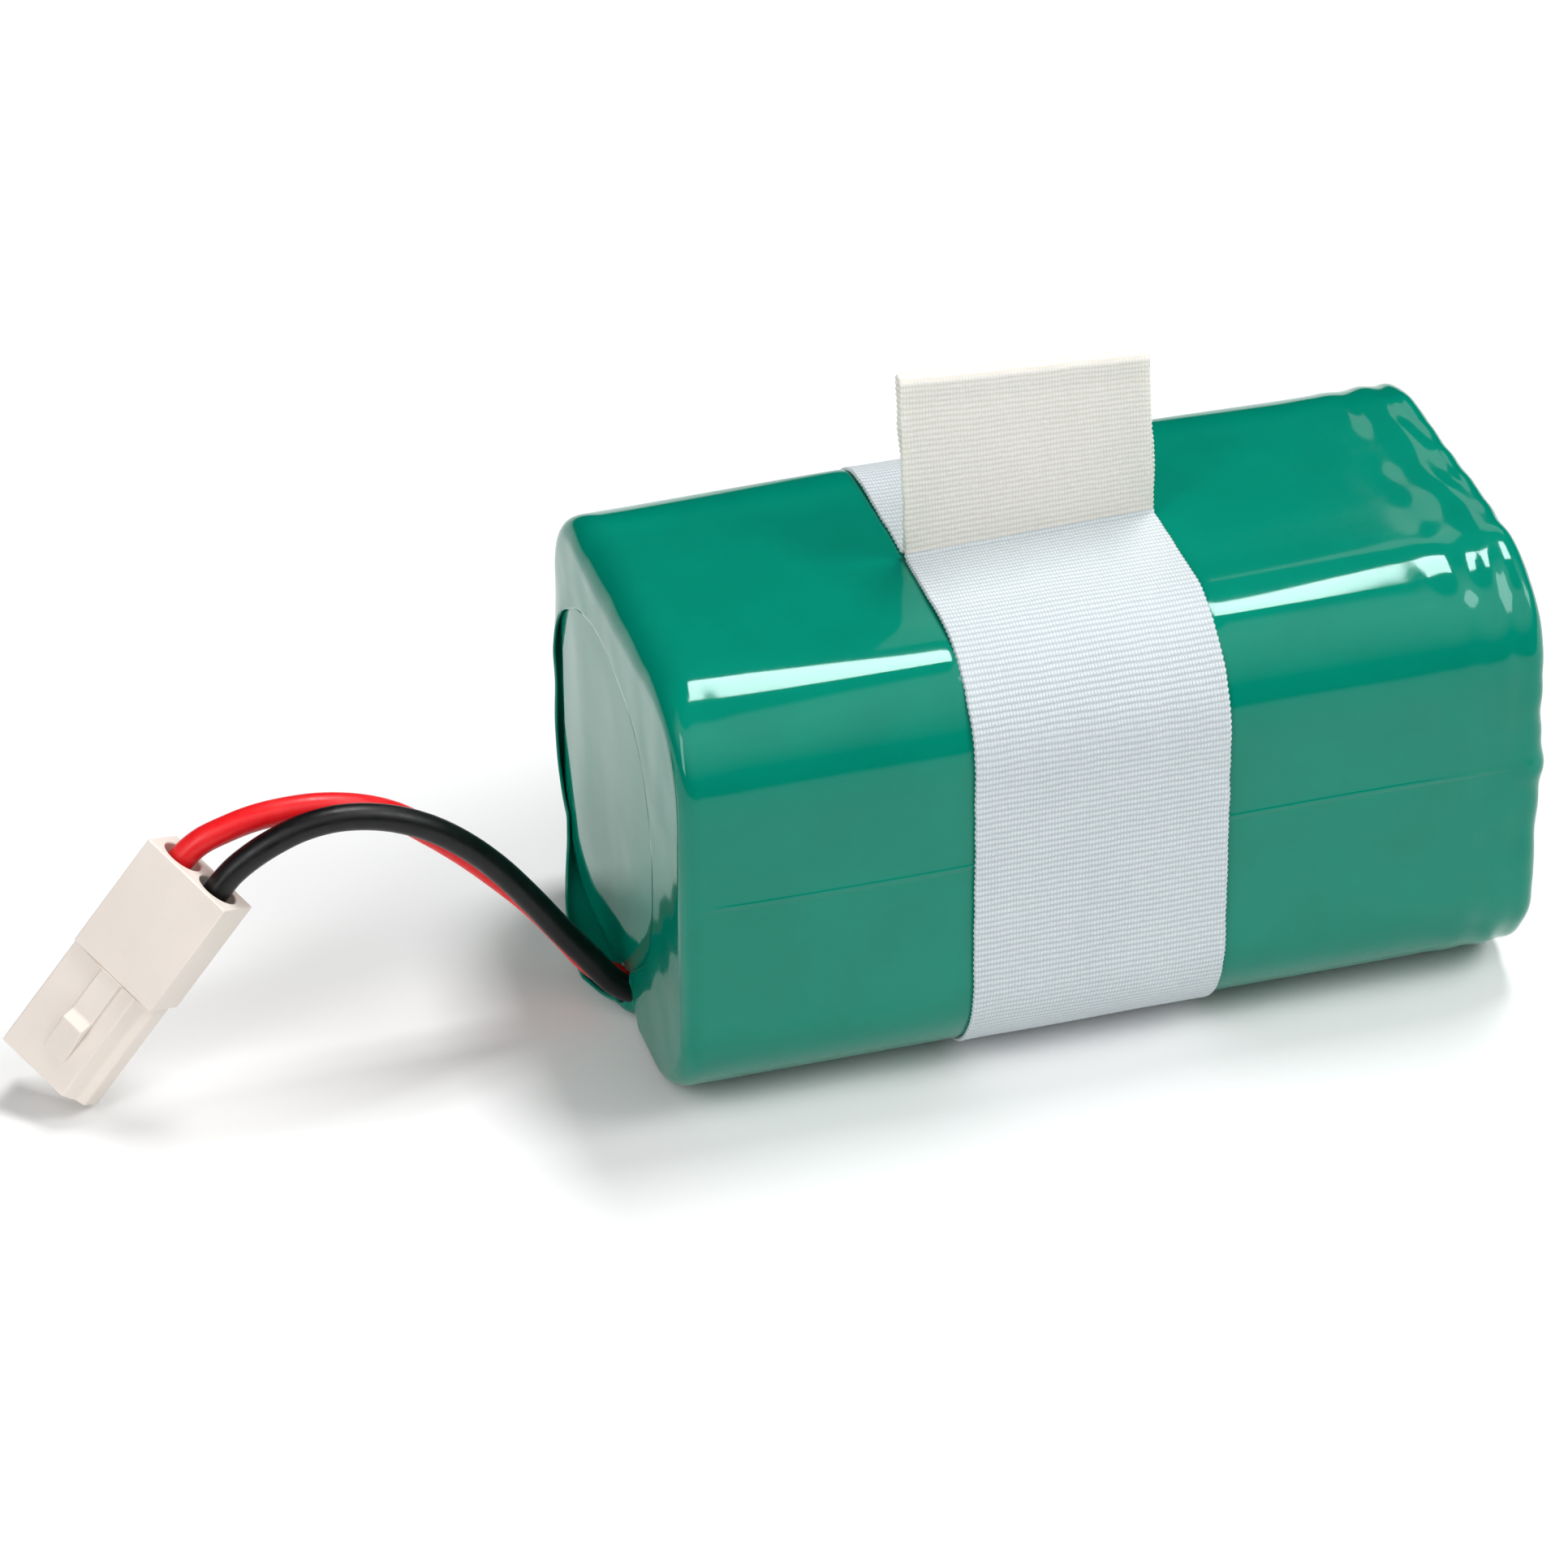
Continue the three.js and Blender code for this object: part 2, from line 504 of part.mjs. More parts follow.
function plugHousing() {
  const rearLength = PLUG_LENGTH - PLUG_NOSE_LENGTH;
  const rear = new THREE.ExtrudeGeometry(roundedRect(PLUG_WIDTH, PLUG_THICK, 0.4),
    { depth: rearLength, curveSegments: 2, bevelEnabled: false });
  rear.translate(0, 0, -rearLength);

  // The nose is flush at its left and set in at its front, back and right. Its front right
  // corner is cut away to a slope and a ledge, which key the plug in its socket.
  const left = -PLUG_WIDTH / 2;
  const right = PLUG_WIDTH / 2 - PLUG_NOSE_STEP;
  const front = -PLUG_THICK / 2 + PLUG_NOSE_STEP;
  const back = PLUG_THICK / 2 - PLUG_NOSE_STEP;
  const outline = new THREE.Shape();
  outline.moveTo(left, front);
  outline.lineTo(right - KEY_WIDTH, front);
  outline.lineTo(right - LEDGE_WIDTH, front + KEY_DEPTH - LEDGE_FALL);
  outline.lineTo(right, front + KEY_DEPTH);
  outline.lineTo(right, back);
  outline.lineTo(left, back);
  outline.closePath();
  const overlap = 1;
  const nose = new THREE.ExtrudeGeometry(outline, {
    depth: PLUG_NOSE_LENGTH + overlap, bevelEnabled: false,
  });
  nose.translate(0, 0, -PLUG_LENGTH);

  // A rib runs from the rear half's front face to the latch, a ramp that rises from its foot
  // to its peak and drops to the rib at its heel. The outline is drawn in (Z, -Y), and the
  // rib's width runs along X.
  const buried = -front - 0.2;
  const ribTop = PLUG_THICK / 2 - 0.02;
  const ramp = new THREE.Shape();
  ramp.moveTo(-rearLength + overlap, buried);
  ramp.lineTo(-rearLength + overlap, ribTop);
  ramp.lineTo(-PLUG_LENGTH + LATCH_FROM_NOSE.heel, ribTop);
  ramp.lineTo(-PLUG_LENGTH + LATCH_FROM_NOSE.peak, ribTop + LATCH_RISE);
  ramp.lineTo(-PLUG_LENGTH + LATCH_FROM_NOSE.foot, -front);
  ramp.lineTo(-PLUG_LENGTH + LATCH_FROM_NOSE.foot, buried);
  ramp.closePath();
  const latch = new THREE.ExtrudeGeometry(ramp, { depth: LATCH_WIDTH, bevelEnabled: false });
  latch.applyMatrix4(new THREE.Matrix4().makeBasis(
    new THREE.Vector3(0, 0, 1), new THREE.Vector3(0, -1, 0), new THREE.Vector3(1, 0, 0)));
  latch.translate(-LATCH_WIDTH / 2, 0, 0);

  const block = toGeometry(toSolid(rear).add(toSolid(nose)).add(toSolid(latch)));
  const bores = [-1, 1].flatMap((side) => [
    boreCutter(side, PLUG_BORE / 2, -BORE_DEPTH, 1),
    boreCutter(side, NOSE_BORE / 2, -PLUG_LENGTH - 1, -BORE_DEPTH + 1),
  ]);
  return cut(block, ...bores);
}

function boreCutter(side, radius, low, high) {
  const boreSides = 16;
  const cutter = new THREE.CylinderGeometry(radius, radius, high - low, boreSides);
  cutter.rotateX(Math.PI / 2);
  cutter.translate(side * PLUG_PITCH / 2, 0, (low + high) / 2);
  return cutter;
}

addPiece('plug_housing', plugHousing(), FINISHES.plug, plug);

// Each terminal is a solid crimp at its rear and an open socket at its front.
const TERMINAL_PROFILE = [
  [0, -17], [0.5, -17], [0.5, -19.4], [0.85, -19.4], [0.85, -8.5],
  [1.2, -8.1], [1.2, -LEAD_IN_BORE - 0.3], [0, -LEAD_IN_BORE - 0.3],
];
function addTerminal(name, side) {
  const terminal = turned(TERMINAL_PROFILE, 12);
  terminal.rotateX(Math.PI / 2);
  terminal.translate(side * PLUG_PITCH / 2, 0, 0);
  addPiece(name, terminal, FINISHES.terminal, plug);
}

addTerminal('red_terminal', -1);
addTerminal('black_terminal', 1);

// ---------------------------------------------------------------- leads

// A lead follows its route and then runs straight down its bore in the plug.
function leadTube(route, side) {
  const intoBore = [0, -LEAD_IN_BORE / 2, -LEAD_IN_BORE].map((depth) => (
    plug.localToWorld(new THREE.Vector3(side * PLUG_PITCH / 2, 0, depth))
  ));
  const points = route.map((point) => new THREE.Vector3(...point)).concat(intoBore);
  const curve = new THREE.CatmullRomCurve3(points, false, 'centripetal');
  const section = new THREE.Shape();
  section.absarc(0, 0, LEAD_DIAMETER / 2, 0, 2 * Math.PI);
  return new THREE.ExtrudeGeometry(section, {
    extrudePath: curve,
    steps: Math.round(curve.getLength() / LEAD_STEP) * 2,
    curveSegments: LEAD_SIDES / 2,
    bevelEnabled: false,
  });
}

addPiece('red_lead', leadTube(RED_ROUTE, -1), FINISHES.redLead);
addPiece('black_lead', leadTube(BLACK_ROUTE, 1), FINISHES.blackLead);

export default pack;
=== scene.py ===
"""Four-cell battery pack in a teal shrink sleeve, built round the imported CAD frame.

Metres throughout. +X runs along the cells, away from the leads. -Y is the front. +Z is up.
"""
import json
import math

import bmesh
import bpy
from mathutils import Euler, Matrix, Vector, noise


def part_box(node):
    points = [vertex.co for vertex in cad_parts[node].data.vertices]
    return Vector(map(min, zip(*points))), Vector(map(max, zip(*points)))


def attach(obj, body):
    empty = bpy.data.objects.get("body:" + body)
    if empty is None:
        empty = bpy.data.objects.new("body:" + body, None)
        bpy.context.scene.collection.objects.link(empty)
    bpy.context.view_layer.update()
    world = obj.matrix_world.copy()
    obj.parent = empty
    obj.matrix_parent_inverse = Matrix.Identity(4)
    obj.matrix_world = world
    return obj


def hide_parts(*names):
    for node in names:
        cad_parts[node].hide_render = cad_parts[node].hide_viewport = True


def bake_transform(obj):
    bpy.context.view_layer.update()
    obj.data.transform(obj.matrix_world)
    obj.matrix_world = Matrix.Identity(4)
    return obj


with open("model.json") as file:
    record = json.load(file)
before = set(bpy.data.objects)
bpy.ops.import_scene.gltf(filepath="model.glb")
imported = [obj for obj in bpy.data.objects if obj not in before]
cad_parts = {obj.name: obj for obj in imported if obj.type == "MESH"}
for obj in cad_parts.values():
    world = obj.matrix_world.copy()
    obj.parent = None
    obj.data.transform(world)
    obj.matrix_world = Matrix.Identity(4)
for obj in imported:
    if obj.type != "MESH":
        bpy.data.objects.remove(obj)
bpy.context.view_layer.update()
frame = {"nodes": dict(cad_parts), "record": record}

MM = 0.001

# ---------------------------------------------------------------- camera

CAMERA_PLACE = Vector((-154.3, -454.6, 334.7)) * MM
CAMERA_TURN = Euler([math.radians(a) for a in (56.235, 0.402, -16.644)])
CAMERA_LENS = 168.9
SENSOR = 36.0


def make_camera():
    data = bpy.data.cameras.new("camera")
    data.lens = CAMERA_LENS
    data.sensor_width = SENSOR
    data.clip_start = 0.01
    data.clip_end = 20.0
    camera = bpy.data.objects.new("camera", data)
    camera.location = CAMERA_PLACE
    camera.rotation_euler = CAMERA_TURN
    bpy.context.scene.collection.objects.link(camera)
    bpy.context.scene.camera = camera


make_camera()

# ---------------------------------------------------------------- sizes from the frame

SLEEVE_LOW, SLEEVE_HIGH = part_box("shrink_sleeve")
BAND_LOW, BAND_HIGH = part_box("ribbon_band")
TAB_LOW, TAB_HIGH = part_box("pull_tab")

HALF_LENGTH = SLEEVE_HIGH[0]
HALF_WIDTH = SLEEVE_HIGH[1]
MID_Z = (SLEEVE_LOW[2] + SLEEVE_HIGH[2]) / 2
HALF_HEIGHT = (SLEEVE_HIGH[2] - SLEEVE_LOW[2]) / 2
CORNER = 9.3 * MM
RIBBON_WIDTH = BAND_HIGH[0] - BAND_LOW[0] + 0.3 * MM
RIBBON_X = (BAND_HIGH[0] + BAND_LOW[0]) / 2
TAB_Y = (TAB_LOW[1] + TAB_HIGH[1]) / 2

LEAD_DIAMETER = 2.1 * MM
PLUG_PITCH = 3.8 * MM
PLUG_LENGTH = 20.4 * MM
PLUG_WIDTH = 8.4 * MM
PLUG_THICK = 4.6 * MM
PLUG_REAR = Vector((-66.9, 0.2, 18.85)) * MM
PLUG_LEAN = math.radians(38.0)
PLUG_ROLL = math.radians(-49.3)
PLUG_FRAME = (
    Matrix.Translation(PLUG_REAR)
    @ Matrix.Rotation(PLUG_LEAN, 4, "Y")
    @ Matrix.Rotation(PLUG_ROLL, 4, "Z")
)

# ---------------------------------------------------------------- small helpers


def smooth(t):
    t = min(max(t, 0.0), 1.0)
    return t * t * (3 - 2 * t)


def mix(a, b, t):
    return a + (b - a) * t


def bump_at(value, centre, reach):
    """1 at the centre, falling smoothly to 0 at a distance of reach."""
    return smooth(1 - abs(value - centre) / reach)


def add_mesh(name, vertices, faces, material, shade_smooth=True):
    mesh = bpy.data.meshes.new(name)
    mesh.from_pydata([tuple(v) for v in vertices], [], faces)
    mesh.validate()
    if shade_smooth:
        mesh.polygons.foreach_set("use_smooth", [True] * len(mesh.polygons))
    mesh.update()
    piece = bpy.data.objects.new(name, mesh)
    bpy.context.scene.collection.objects.link(piece)
    mesh.materials.append(material)
    return piece


def grid_faces(rows, columns, wrap_columns=False, wrap_rows=False):
    """Quads over a grid of vertices that is stored row by row."""
    faces = []
    for r in range(rows if wrap_rows else rows - 1):
        for c in range(columns if wrap_columns else columns - 1):
            nr, nc = (r + 1) % rows, (c + 1) % columns
            faces.append((r * columns + c, r * columns + nc, nr * columns + nc, nr * columns + c))
    return faces


def apply_modifiers(piece):
    bpy.context.view_layer.update()
    graph = bpy.context.evaluated_depsgraph_get()
    final = bpy.data.meshes.new_from_object(piece.evaluated_get(graph))
    old = piece.data
    piece.modifiers.clear()
    piece.data = final
    bpy.data.meshes.remove(old)


def face_outward(piece, first_face_way=0):
    """Turns the faces of a closed piece outwards, or those of an open one all the same way: so
    that the first one looks along -X or +X, if first_face_way is -1 or 1."""
    tool = bmesh.new()
    tool.from_mesh(piece.data)
    bmesh.ops.recalc_face_normals(tool, faces=tool.faces)
    tool.faces.ensure_lookup_table()
    if tool.faces[0].normal.x * first_face_way < 0:
        bmesh.ops.reverse_faces(tool, faces=tool.faces)
    tool.to_mesh(piece.data)
    tool.free()


def thicken(piece, thickness, offset):
    shell = piece.modifiers.new("thickness", "SOLIDIFY")
    shell.thickness = thickness
    shell.offset = offset
    apply_modifiers(piece)


def stand_for(piece, body, node):
    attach(piece, body)
    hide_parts(node)


# ---------------------------------------------------------------- materials


class Nodes:
    """A short way to write a material's node tree."""

    def __init__(self, name):
        self.material = bpy.data.materials.new(name)
        self.material.use_nodes = True
        self.tree = self.material.node_tree
        self.shader = self.tree.nodes["Principled BSDF"]

    def add(self, kind, inputs=(), **settings):
        node = self.tree.nodes.new(kind)
        for key, value in settings.items():
            setattr(node, key, value)
        for key, value in dict(inputs).items():
            self.feed(node.inputs[key], value)
        return node

    def feed(self, socket, value):
        if isinstance(value, bpy.types.NodeSocket):
            self.tree.links.new(value, socket)
        else:
            socket.default_value = value

    def math(self, operation, *values, clamp=False):
        node = self.add("ShaderNodeMath", operation=operation, use_clamp=clamp)
        for socket, value in zip(node.inputs, values):
            self.feed(socket, value)
        return node.outputs[0]

    def object_point(self):
        return self.add("ShaderNodeTexCoord").outputs["Object"]

    def noise(self, scale, detail=3.0, roughness=0.5, vector=None, stretch=None):
        point = vector or self.object_point()
        if stretch:
            point = self.add("ShaderNodeMapping", {"Vector": point, "Scale": stretch}).outputs[0]
        node = self.add(
            "ShaderNodeTexNoise",
            {"Vector": point, "Scale": scale, "Detail": detail, "Roughness": roughness},
        )
        return node.outputs["Fac"]

    def ramp(self, factor, stops):
        node = self.add("ShaderNodeValToRGB", {"Fac": factor})
        elements = node.color_ramp.elements
        while len(elements) < len(stops):
            elements.new(0.5)
        for element, (place, colour) in zip(elements, stops):
            element.position = place
            element.color = (*colour, 1.0) if len(colour) == 3 else colour
        return node.outputs["Color"]

    def spread(self, factor, low, high, to_low, to_high):
        inputs = {"Value": factor, "From Min": low, "From Max": high,
                  "To Min": to_low, "To Max": to_high}
        return self.add("ShaderNodeMapRange", inputs).outputs[0]

    def bump(self, height, distance, strength=1.0, below=None):
        inputs = {"Height": height, "Distance": distance, "Strength": strength}
        if below is not None:
            inputs["Normal"] = below
        return self.add("ShaderNodeBump", inputs).outputs[0]

    def set(self, **values):
        """Feeds the main shader's inputs, by name."""
        for key, value in values.items():
            self.feed(self.shader.inputs[key.replace("_", " ")], value)


def srgb(red, green, blue):
    """An sRGB colour of 0 to 255 as linear values."""
    def linear(c):
        c /= 255
        return c / 12.92 if c <= 0.04045 else ((c + 0.055) / 1.055) ** 2.4
    return (linear(red), linear(green), linear(blue))


def shaded(colour, share):
    return tuple(c * share for c in colour)


def film_material(name, colour, roughness, ripple, tint=(1.0, 1.0, 1.0)):
    """Glossy PVC film: slight mottling, a skin that isn't quite flat, and fine haze."""
    n = Nodes(name)
    mottle = n.noise(180.0, detail=4.0)
    n.set(Base_Color=n.ramp(mottle, [(0.3, shaded(colour, 0.95)), (0.7, shaded(colour, 1.05))]))
    haze = n.noise(2600.0, detail=2.0)
    n.set(Roughness=n.spread(haze, 0.3, 0.7, roughness * 0.8, roughness * 1.3))
    slow = n.bump(n.noise(260.0, detail=2.0, stretch=(0.35, 1.0, 1.0)), ripple)
    fine = n.bump(n.noise(3200.0, detail=2.0), ripple * 0.012, below=slow)
    n.set(Normal=fine)
    n.shader.inputs["IOR"].default_value = 1.43
    n.shader.inputs["Specular Tint"].default_value = (*tint, 1.0)
    n.shader.inputs["Specular IOR Level"].default_value = 0.43
    return n.material


def weave_material(name, light, hollow_shade_and_dark_fibre, depth, glow):
    """Ribbed weave: rows of small oval floats across the ribbon, one over each warp yarn.

    The UV map is in millimetres: across the ribbon, and along it.
    """
    warp_pitch = 0.25
    row_pitch = 0.5
    n = Nodes(name)
    uv = n.add("ShaderNodeUVMap", uv_map="weave").outputs[0]
    wander = n.add(
        "ShaderNodeTexNoise", {"Vector": uv, "Scale": 0.45, "Detail": 1.5}).outputs["Color"]
    shift = n.add(
        "ShaderNodeVectorMath", {0: wander, 1: (0.18, 0.22, 0.0)}, operation="MULTIPLY").outputs[0]
    uv = n.add("ShaderNodeVectorMath", {0: uv, 1: shift}, operation="ADD").outputs[0]
    parts = n.add("ShaderNodeSeparateXYZ", {0: uv})

    def rise(coordinate, pitch):
        turns = n.math("MULTIPLY", coordinate, 2 * math.pi / pitch)
        return n.math("ADD", n.math("MULTIPLY", n.math("COSINE", turns), 0.5), 0.5)

    warp = n.math("POWER", rise(parts.outputs["X"], warp_pitch), 0.6)
    row = n.math("POWER", rise(parts.outputs["Y"], row_pitch), 0.7)
    floats = n.math("MULTIPLY", n.math("MULTIPLY", warp, row), 0.7)
    height = n.math("ADD", floats, n.math("MULTIPLY", row, 0.3))
    fibre = n.noise(1.0, detail=2.0, vector=uv, stretch=(14.0, 6.0, 1.0))
    patch = n.noise(0.16, detail=2.0, vector=uv)
    # The colour follows the weave's height. Painted shade darkens the hollows between the floats
    # and painted light brightens their tops, and fibre and patch noise add random tone.
    painted_weave_shade_and_fibre_tone = n.math("ADD", n.math("MULTIPLY", height, 0.75), n.math("MULTIPLY", fibre, 0.15))
    painted_weave_shade_and_fibre_tone = n.math("ADD", painted_weave_shade_and_fibre_tone, n.math("MULTIPLY", patch, 0.15))
    n.set(Base_Color=n.ramp(painted_weave_shade_and_fibre_tone, [(0.15, hollow_shade_and_dark_fibre), (0.8, light)]), Roughness=0.7)
    weave_bump = n.bump(height, depth)
    n.set(Normal=n.bump(fibre, depth * 0.2, below=weave_bump))
    n.shader.inputs["Sheen Weight"].default_value = 0.2
    n.shader.inputs["Sheen Roughness"].default_value = 0.5
    n.shader.inputs["Specular IOR Level"].default_value = 0.3
    n.shader.inputs["Subsurface Weight"].default_value = glow
    n.shader.inputs["Subsurface Radius"].default_value = (1.0, 1.0, 0.95)
    n.shader.inputs["Subsurface Scale"].default_value = 0.8 * MM
    return n.material


def moulded_material(name, colour, roughness, grain):
    """Moulded plastic: even colour with slight flow marks, and a fine eroded grain."""
    n = Nodes(name)
    flow = n.noise(140.0, detail=3.0)
    n.set(Base_Color=n.ramp(flow, [(0.3, shaded(colour, 0.955)), (0.7, shaded(colour, 1.02))]))
    fine = n.noise(5200.0, detail=3.0)
    n.set(Roughness=n.spread(fine, 0.3, 0.7, roughness * 0.88, roughness * 1.15))
    n.set(Normal=n.bump(fine, grain))
    return n.material


def nylon_material():
    n = Nodes("nylon")
    colour = srgb(234, 224, 215)
    flow = n.noise(160.0, detail=3.0)
    n.set(Base_Color=n.ramp(flow, [(0.3, shaded(colour, 0.95)), (0.7, shaded(colour, 1.02))]))
    fine = n.noise(6000.0, detail=4.0, roughness=0.6)
    n.set(Roughness=n.spread(fine, 0.3, 0.7, 0.42, 0.58), Normal=n.bump(fine, 0.012 * MM))
    n.shader.inputs["Subsurface Weight"].default_value = 0.12
    n.shader.inputs["Subsurface Radius"].default_value = (1.0, 0.8, 0.6)
    n.shader.inputs["Subsurface Scale"].default_value = 0.6 * MM
    return n.material


def lead_material(name, colour, lift):
    """Flexible PVC insulation, with faint scuffs and slightly uneven gloss."""
    n = Nodes(name)
    scuff = n.noise(420.0, detail=5.0, roughness=0.65)
    n.set(Base_Color=n.ramp(scuff, [(0.35, colour), (0.8, lift)]))
    gloss = n.noise(900.0, detail=3.0)
    n.set(Roughness=n.spread(gloss, 0.3, 0.7, 0.3, 0.46))
    n.set(Normal=n.bump(n.noise(1500.0, detail=4.0), 0.012 * MM))
    n.shader.inputs["IOR"].default_value = 1.4
    return n.material


def metal_material(name, colour, roughness, brush=(1.0, 1.0, 1.0), depth=0.004):
    """Plated or rolled metal, with fine marks drawn along one way."""
    n = Nodes(name)
    marks = n.noise(1800.0, detail=4.0, stretch=brush)
    cloud = n.noise(150.0, detail=2.0)
    n.set(Base_Color=n.ramp(cloud, [(0.3, shaded(colour, 0.9)), (0.7, colour)]))
    n.set(Roughness=n.spread(marks, 0.3, 0.7, roughness * 0.7, roughness * 1.4))
    n.set(Normal=n.bump(marks, depth * MM))
    n.shader.inputs["Metallic"].default_value = 1.0
    return n.material


def paper_material():
    n = Nodes("fish_paper")
    colour = srgb(170, 190, 172)
    fibres = n.noise(1400.0, detail=6.0, roughness=0.7, stretch=(1.0, 0.3, 1.0))
    n.set(Base_Color=n.ramp(fibres, [(0.35, shaded(colour, 0.82)), (0.65, shaded(colour, 1.05))]))
    n.set(Roughness=0.85, Normal=n.bump(fibres, 0.02 * MM))
    return n.material


def board_material():
    n = Nodes("circuit_board")
    mask = srgb(22, 92, 48)
    weave = n.add("ShaderNodeTexBrick", {
        "Vector": n.object_point(), "Scale": 900.0, "Color1": (*mask, 1.0),
        "Color2": (*shaded(mask, 1.25), 1.0), "Mortar": (*shaded(mask, 0.7), 1.0)})
    n.set(Base_Color=weave.outputs["Color"])
    n.set(Roughness=n.spread(n.noise(1200.0), 0.3, 0.7, 0.25, 0.4))
    n.set(Normal=n.bump(weave.outputs["Fac"], 0.006 * MM))
    return n.material


TEAL = srgb(0, 125, 103)
FILM_TINT = (0.78, 1.0, 1.0)
MATERIALS = {
    "sleeve_pvc": film_material("sleeve_pvc", TEAL, 0.075, 0.008 * MM, FILM_TINT),
    "end_sheet": film_material("end_sheet", TEAL, 0.05, 0.006 * MM, FILM_TINT),
    "fish_paper": paper_material(),
    "cell_wrap": film_material("cell_wrap", srgb(45, 108, 178), 0.2, 0.01 * MM),
    "cell_steel": metal_material("cell_steel", (0.72, 0.73, 0.74), 0.22, (0.1, 1.0, 1.0)),
    "electrode": moulded_material("electrode", srgb(92, 70, 56), 0.75, 0.02 * MM),
    "gasket_pp": moulded_material("gasket_pp", srgb(46, 48, 52), 0.6, 0.01 * MM),
    "nickel": metal_material("nickel", (0.72, 0.69, 0.63), 0.32, (1.0, 0.08, 1.0)),
    "circuit_board": board_material(),
    "component_black": moulded_material("component_black", srgb(30, 30, 32), 0.55, 0.015 * MM),
    "capacitor_ceramic": moulded_material(
        "capacitor_ceramic", srgb(172, 138, 92), 0.5, 0.01 * MM),
    "solder": metal_material("solder", (0.78, 0.78, 0.79), 0.25, depth=0.012),
    # Each ribbon's two colours are its float tops with painted light and its hollows with painted
    # shade.
    "ribbon": weave_material(
        "ribbon", srgb(221, 228, 231), srgb(180, 191, 196), 0.08 * MM, 0.15),
    "tab_ribbon": weave_material(
        "tab_ribbon", srgb(250, 247, 240), srgb(226, 221, 210), 0.05 * MM, 0.4),
    "tab_glue": moulded_material("tab_glue", srgb(226, 216, 186), 0.3, 0.02 * MM),
    "lead_red": lead_material("lead_red", srgb(228, 16, 26), srgb(234, 42, 44)),
    "lead_black": lead_material("lead_black", srgb(5, 5, 6), srgb(18, 18, 19)),
    "plug_nylon": nylon_material(),
    "terminal_tin": metal_material("terminal_tin", (0.78, 0.74, 0.66), 0.3, (1.0, 1.0, 0.15)),
}


def finish_cad_nodes():
    """Every CAD node that stays in view gets its slot's material."""
    for part in frame["record"]["subparts"]:
        data = frame["nodes"][part["node"]].data
        data.materials.clear()
        data.materials.append(MATERIALS[part["material_slot"]])


finish_cad_nodes()

# ---------------------------------------------------------------- leads

RED_ROUTE = [
    (-33.0, 0.35, 1.95), (-34.4, 0.35, 2.3), (-35.7, 0.45, 3.2), (-36.9, 0.6, 4.6),
    (-38.4, 0.75, 6.8), (-40.9, 0.8, 10.3), (-43.6, 0.85, 13.4), (-46.2, 0.9, 16.1),
    (-48.7, 0.9, 18.4), (-51.4, 1.0, 20.5), (-54.2, 1.0, 21.8), (-57.3, 1.1, 22.45),
    (-60.0, 1.2, 22.5), (-62.5, 1.3, 22.2), (-64.7, 1.4, 21.55), (-66.5, 1.55, 20.75),
]
BLACK_ROUTE = [
    (-33.0, -2.3, 2.35), (-34.4, -2.3, 3.0), (-35.6, -2.2, 4.1), (-37.2, -2.0, 6.3),
    (-39.2, -1.8, 9.0), (-41.7, -1.6, 12.6), (-44.2, -1.55, 15.9), (-46.7, -1.5, 18.5),
    (-49.2, -1.4, 20.4), (-51.8, -1.3, 21.7), (-54.3, -1.3, 22.45), (-56.7, -1.3, 22.7),
    (-59.1, -1.3, 22.4), (-61.2, -1.3, 21.65), (-63.1, -1.3, 20.65), (-64.7, -1.25, 19.45),
]
LEAD_IN_BORE = 4.0 * MM
STEPS_PER_POINT = 6


def smooth_route(points):
    """A centripetal Catmull-Rom curve through the points, as the CAD tube has."""
    ends = [points[0] * 2 - points[1], *points, points[-1] * 2 - points[-2]]
    line = []
    for p0, p1, p2, p3 in zip(ends, ends[1:], ends[2:], ends[3:]):
        t1 = (p1 - p0).length ** 0.5
        t2 = t1 + (p2 - p1).length ** 0.5
        t3 = t2 + (p3 - p2).length ** 0.5
        for step in range(STEPS_PER_POINT):
            t = mix(t1, t2, step / STEPS_PER_POINT)
            a1 = p0.lerp(p1, t / t1)
            a2 = p1.lerp(p2, (t - t1) / (t2 - t1))
            a3 = p2.lerp(p3, (t - t2) / (t3 - t2))
            b1 = a1.lerp(a2, t / t2)
            b2 = a2.lerp(a3, (t - t1) / (t3 - t1))
            line.append(b1.lerp(b2, (t - t1) / (t2 - t1)))
    return line + [points[-1]]


def add_lead(name, route, side, slot):
    in_bore = [
        PLUG_FRAME @ Vector((side * PLUG_PITCH / 2, 0.0, -depth))
        for depth in (0.0, LEAD_IN_BORE / 2, LEAD_IN_BORE)
    ]
    line = smooth_route([Vector(p) * MM for p in route] + in_bore)
    data = bpy.data.curves.new(name, "CURVE")
    data.dimensions = "3D"
    data.bevel_depth = LEAD_DIAMETER / 2
    data.bevel_resolution = 7
    data.use_fill_caps = True
    spline = data.splines.new("POLY")
    spline.points.add(len(line) - 1)
    for point, place in zip(spline.points, line):
        point.co = (*place, 1.0)
    spline.use_smooth = True
    data.materials.append(MATERIALS[slot])
    lead = bpy.data.objects.new(name, data)
    bpy.context.scene.collection.objects.link(lead)
    length = sum((b - a).length for a, b in zip(line, line[1:]))
    return lead, line[0], length


red_wire, red_exit, red_length = add_lead("red_wire", RED_ROUTE, -1, "lead_red")
black_wire, black_exit, black_length = add_lead("black_wire", BLACK_ROUTE, 1, "lead_black")

# ---------------------------------------------------------------- shrink sleeve

FILM = 0.25 * MM
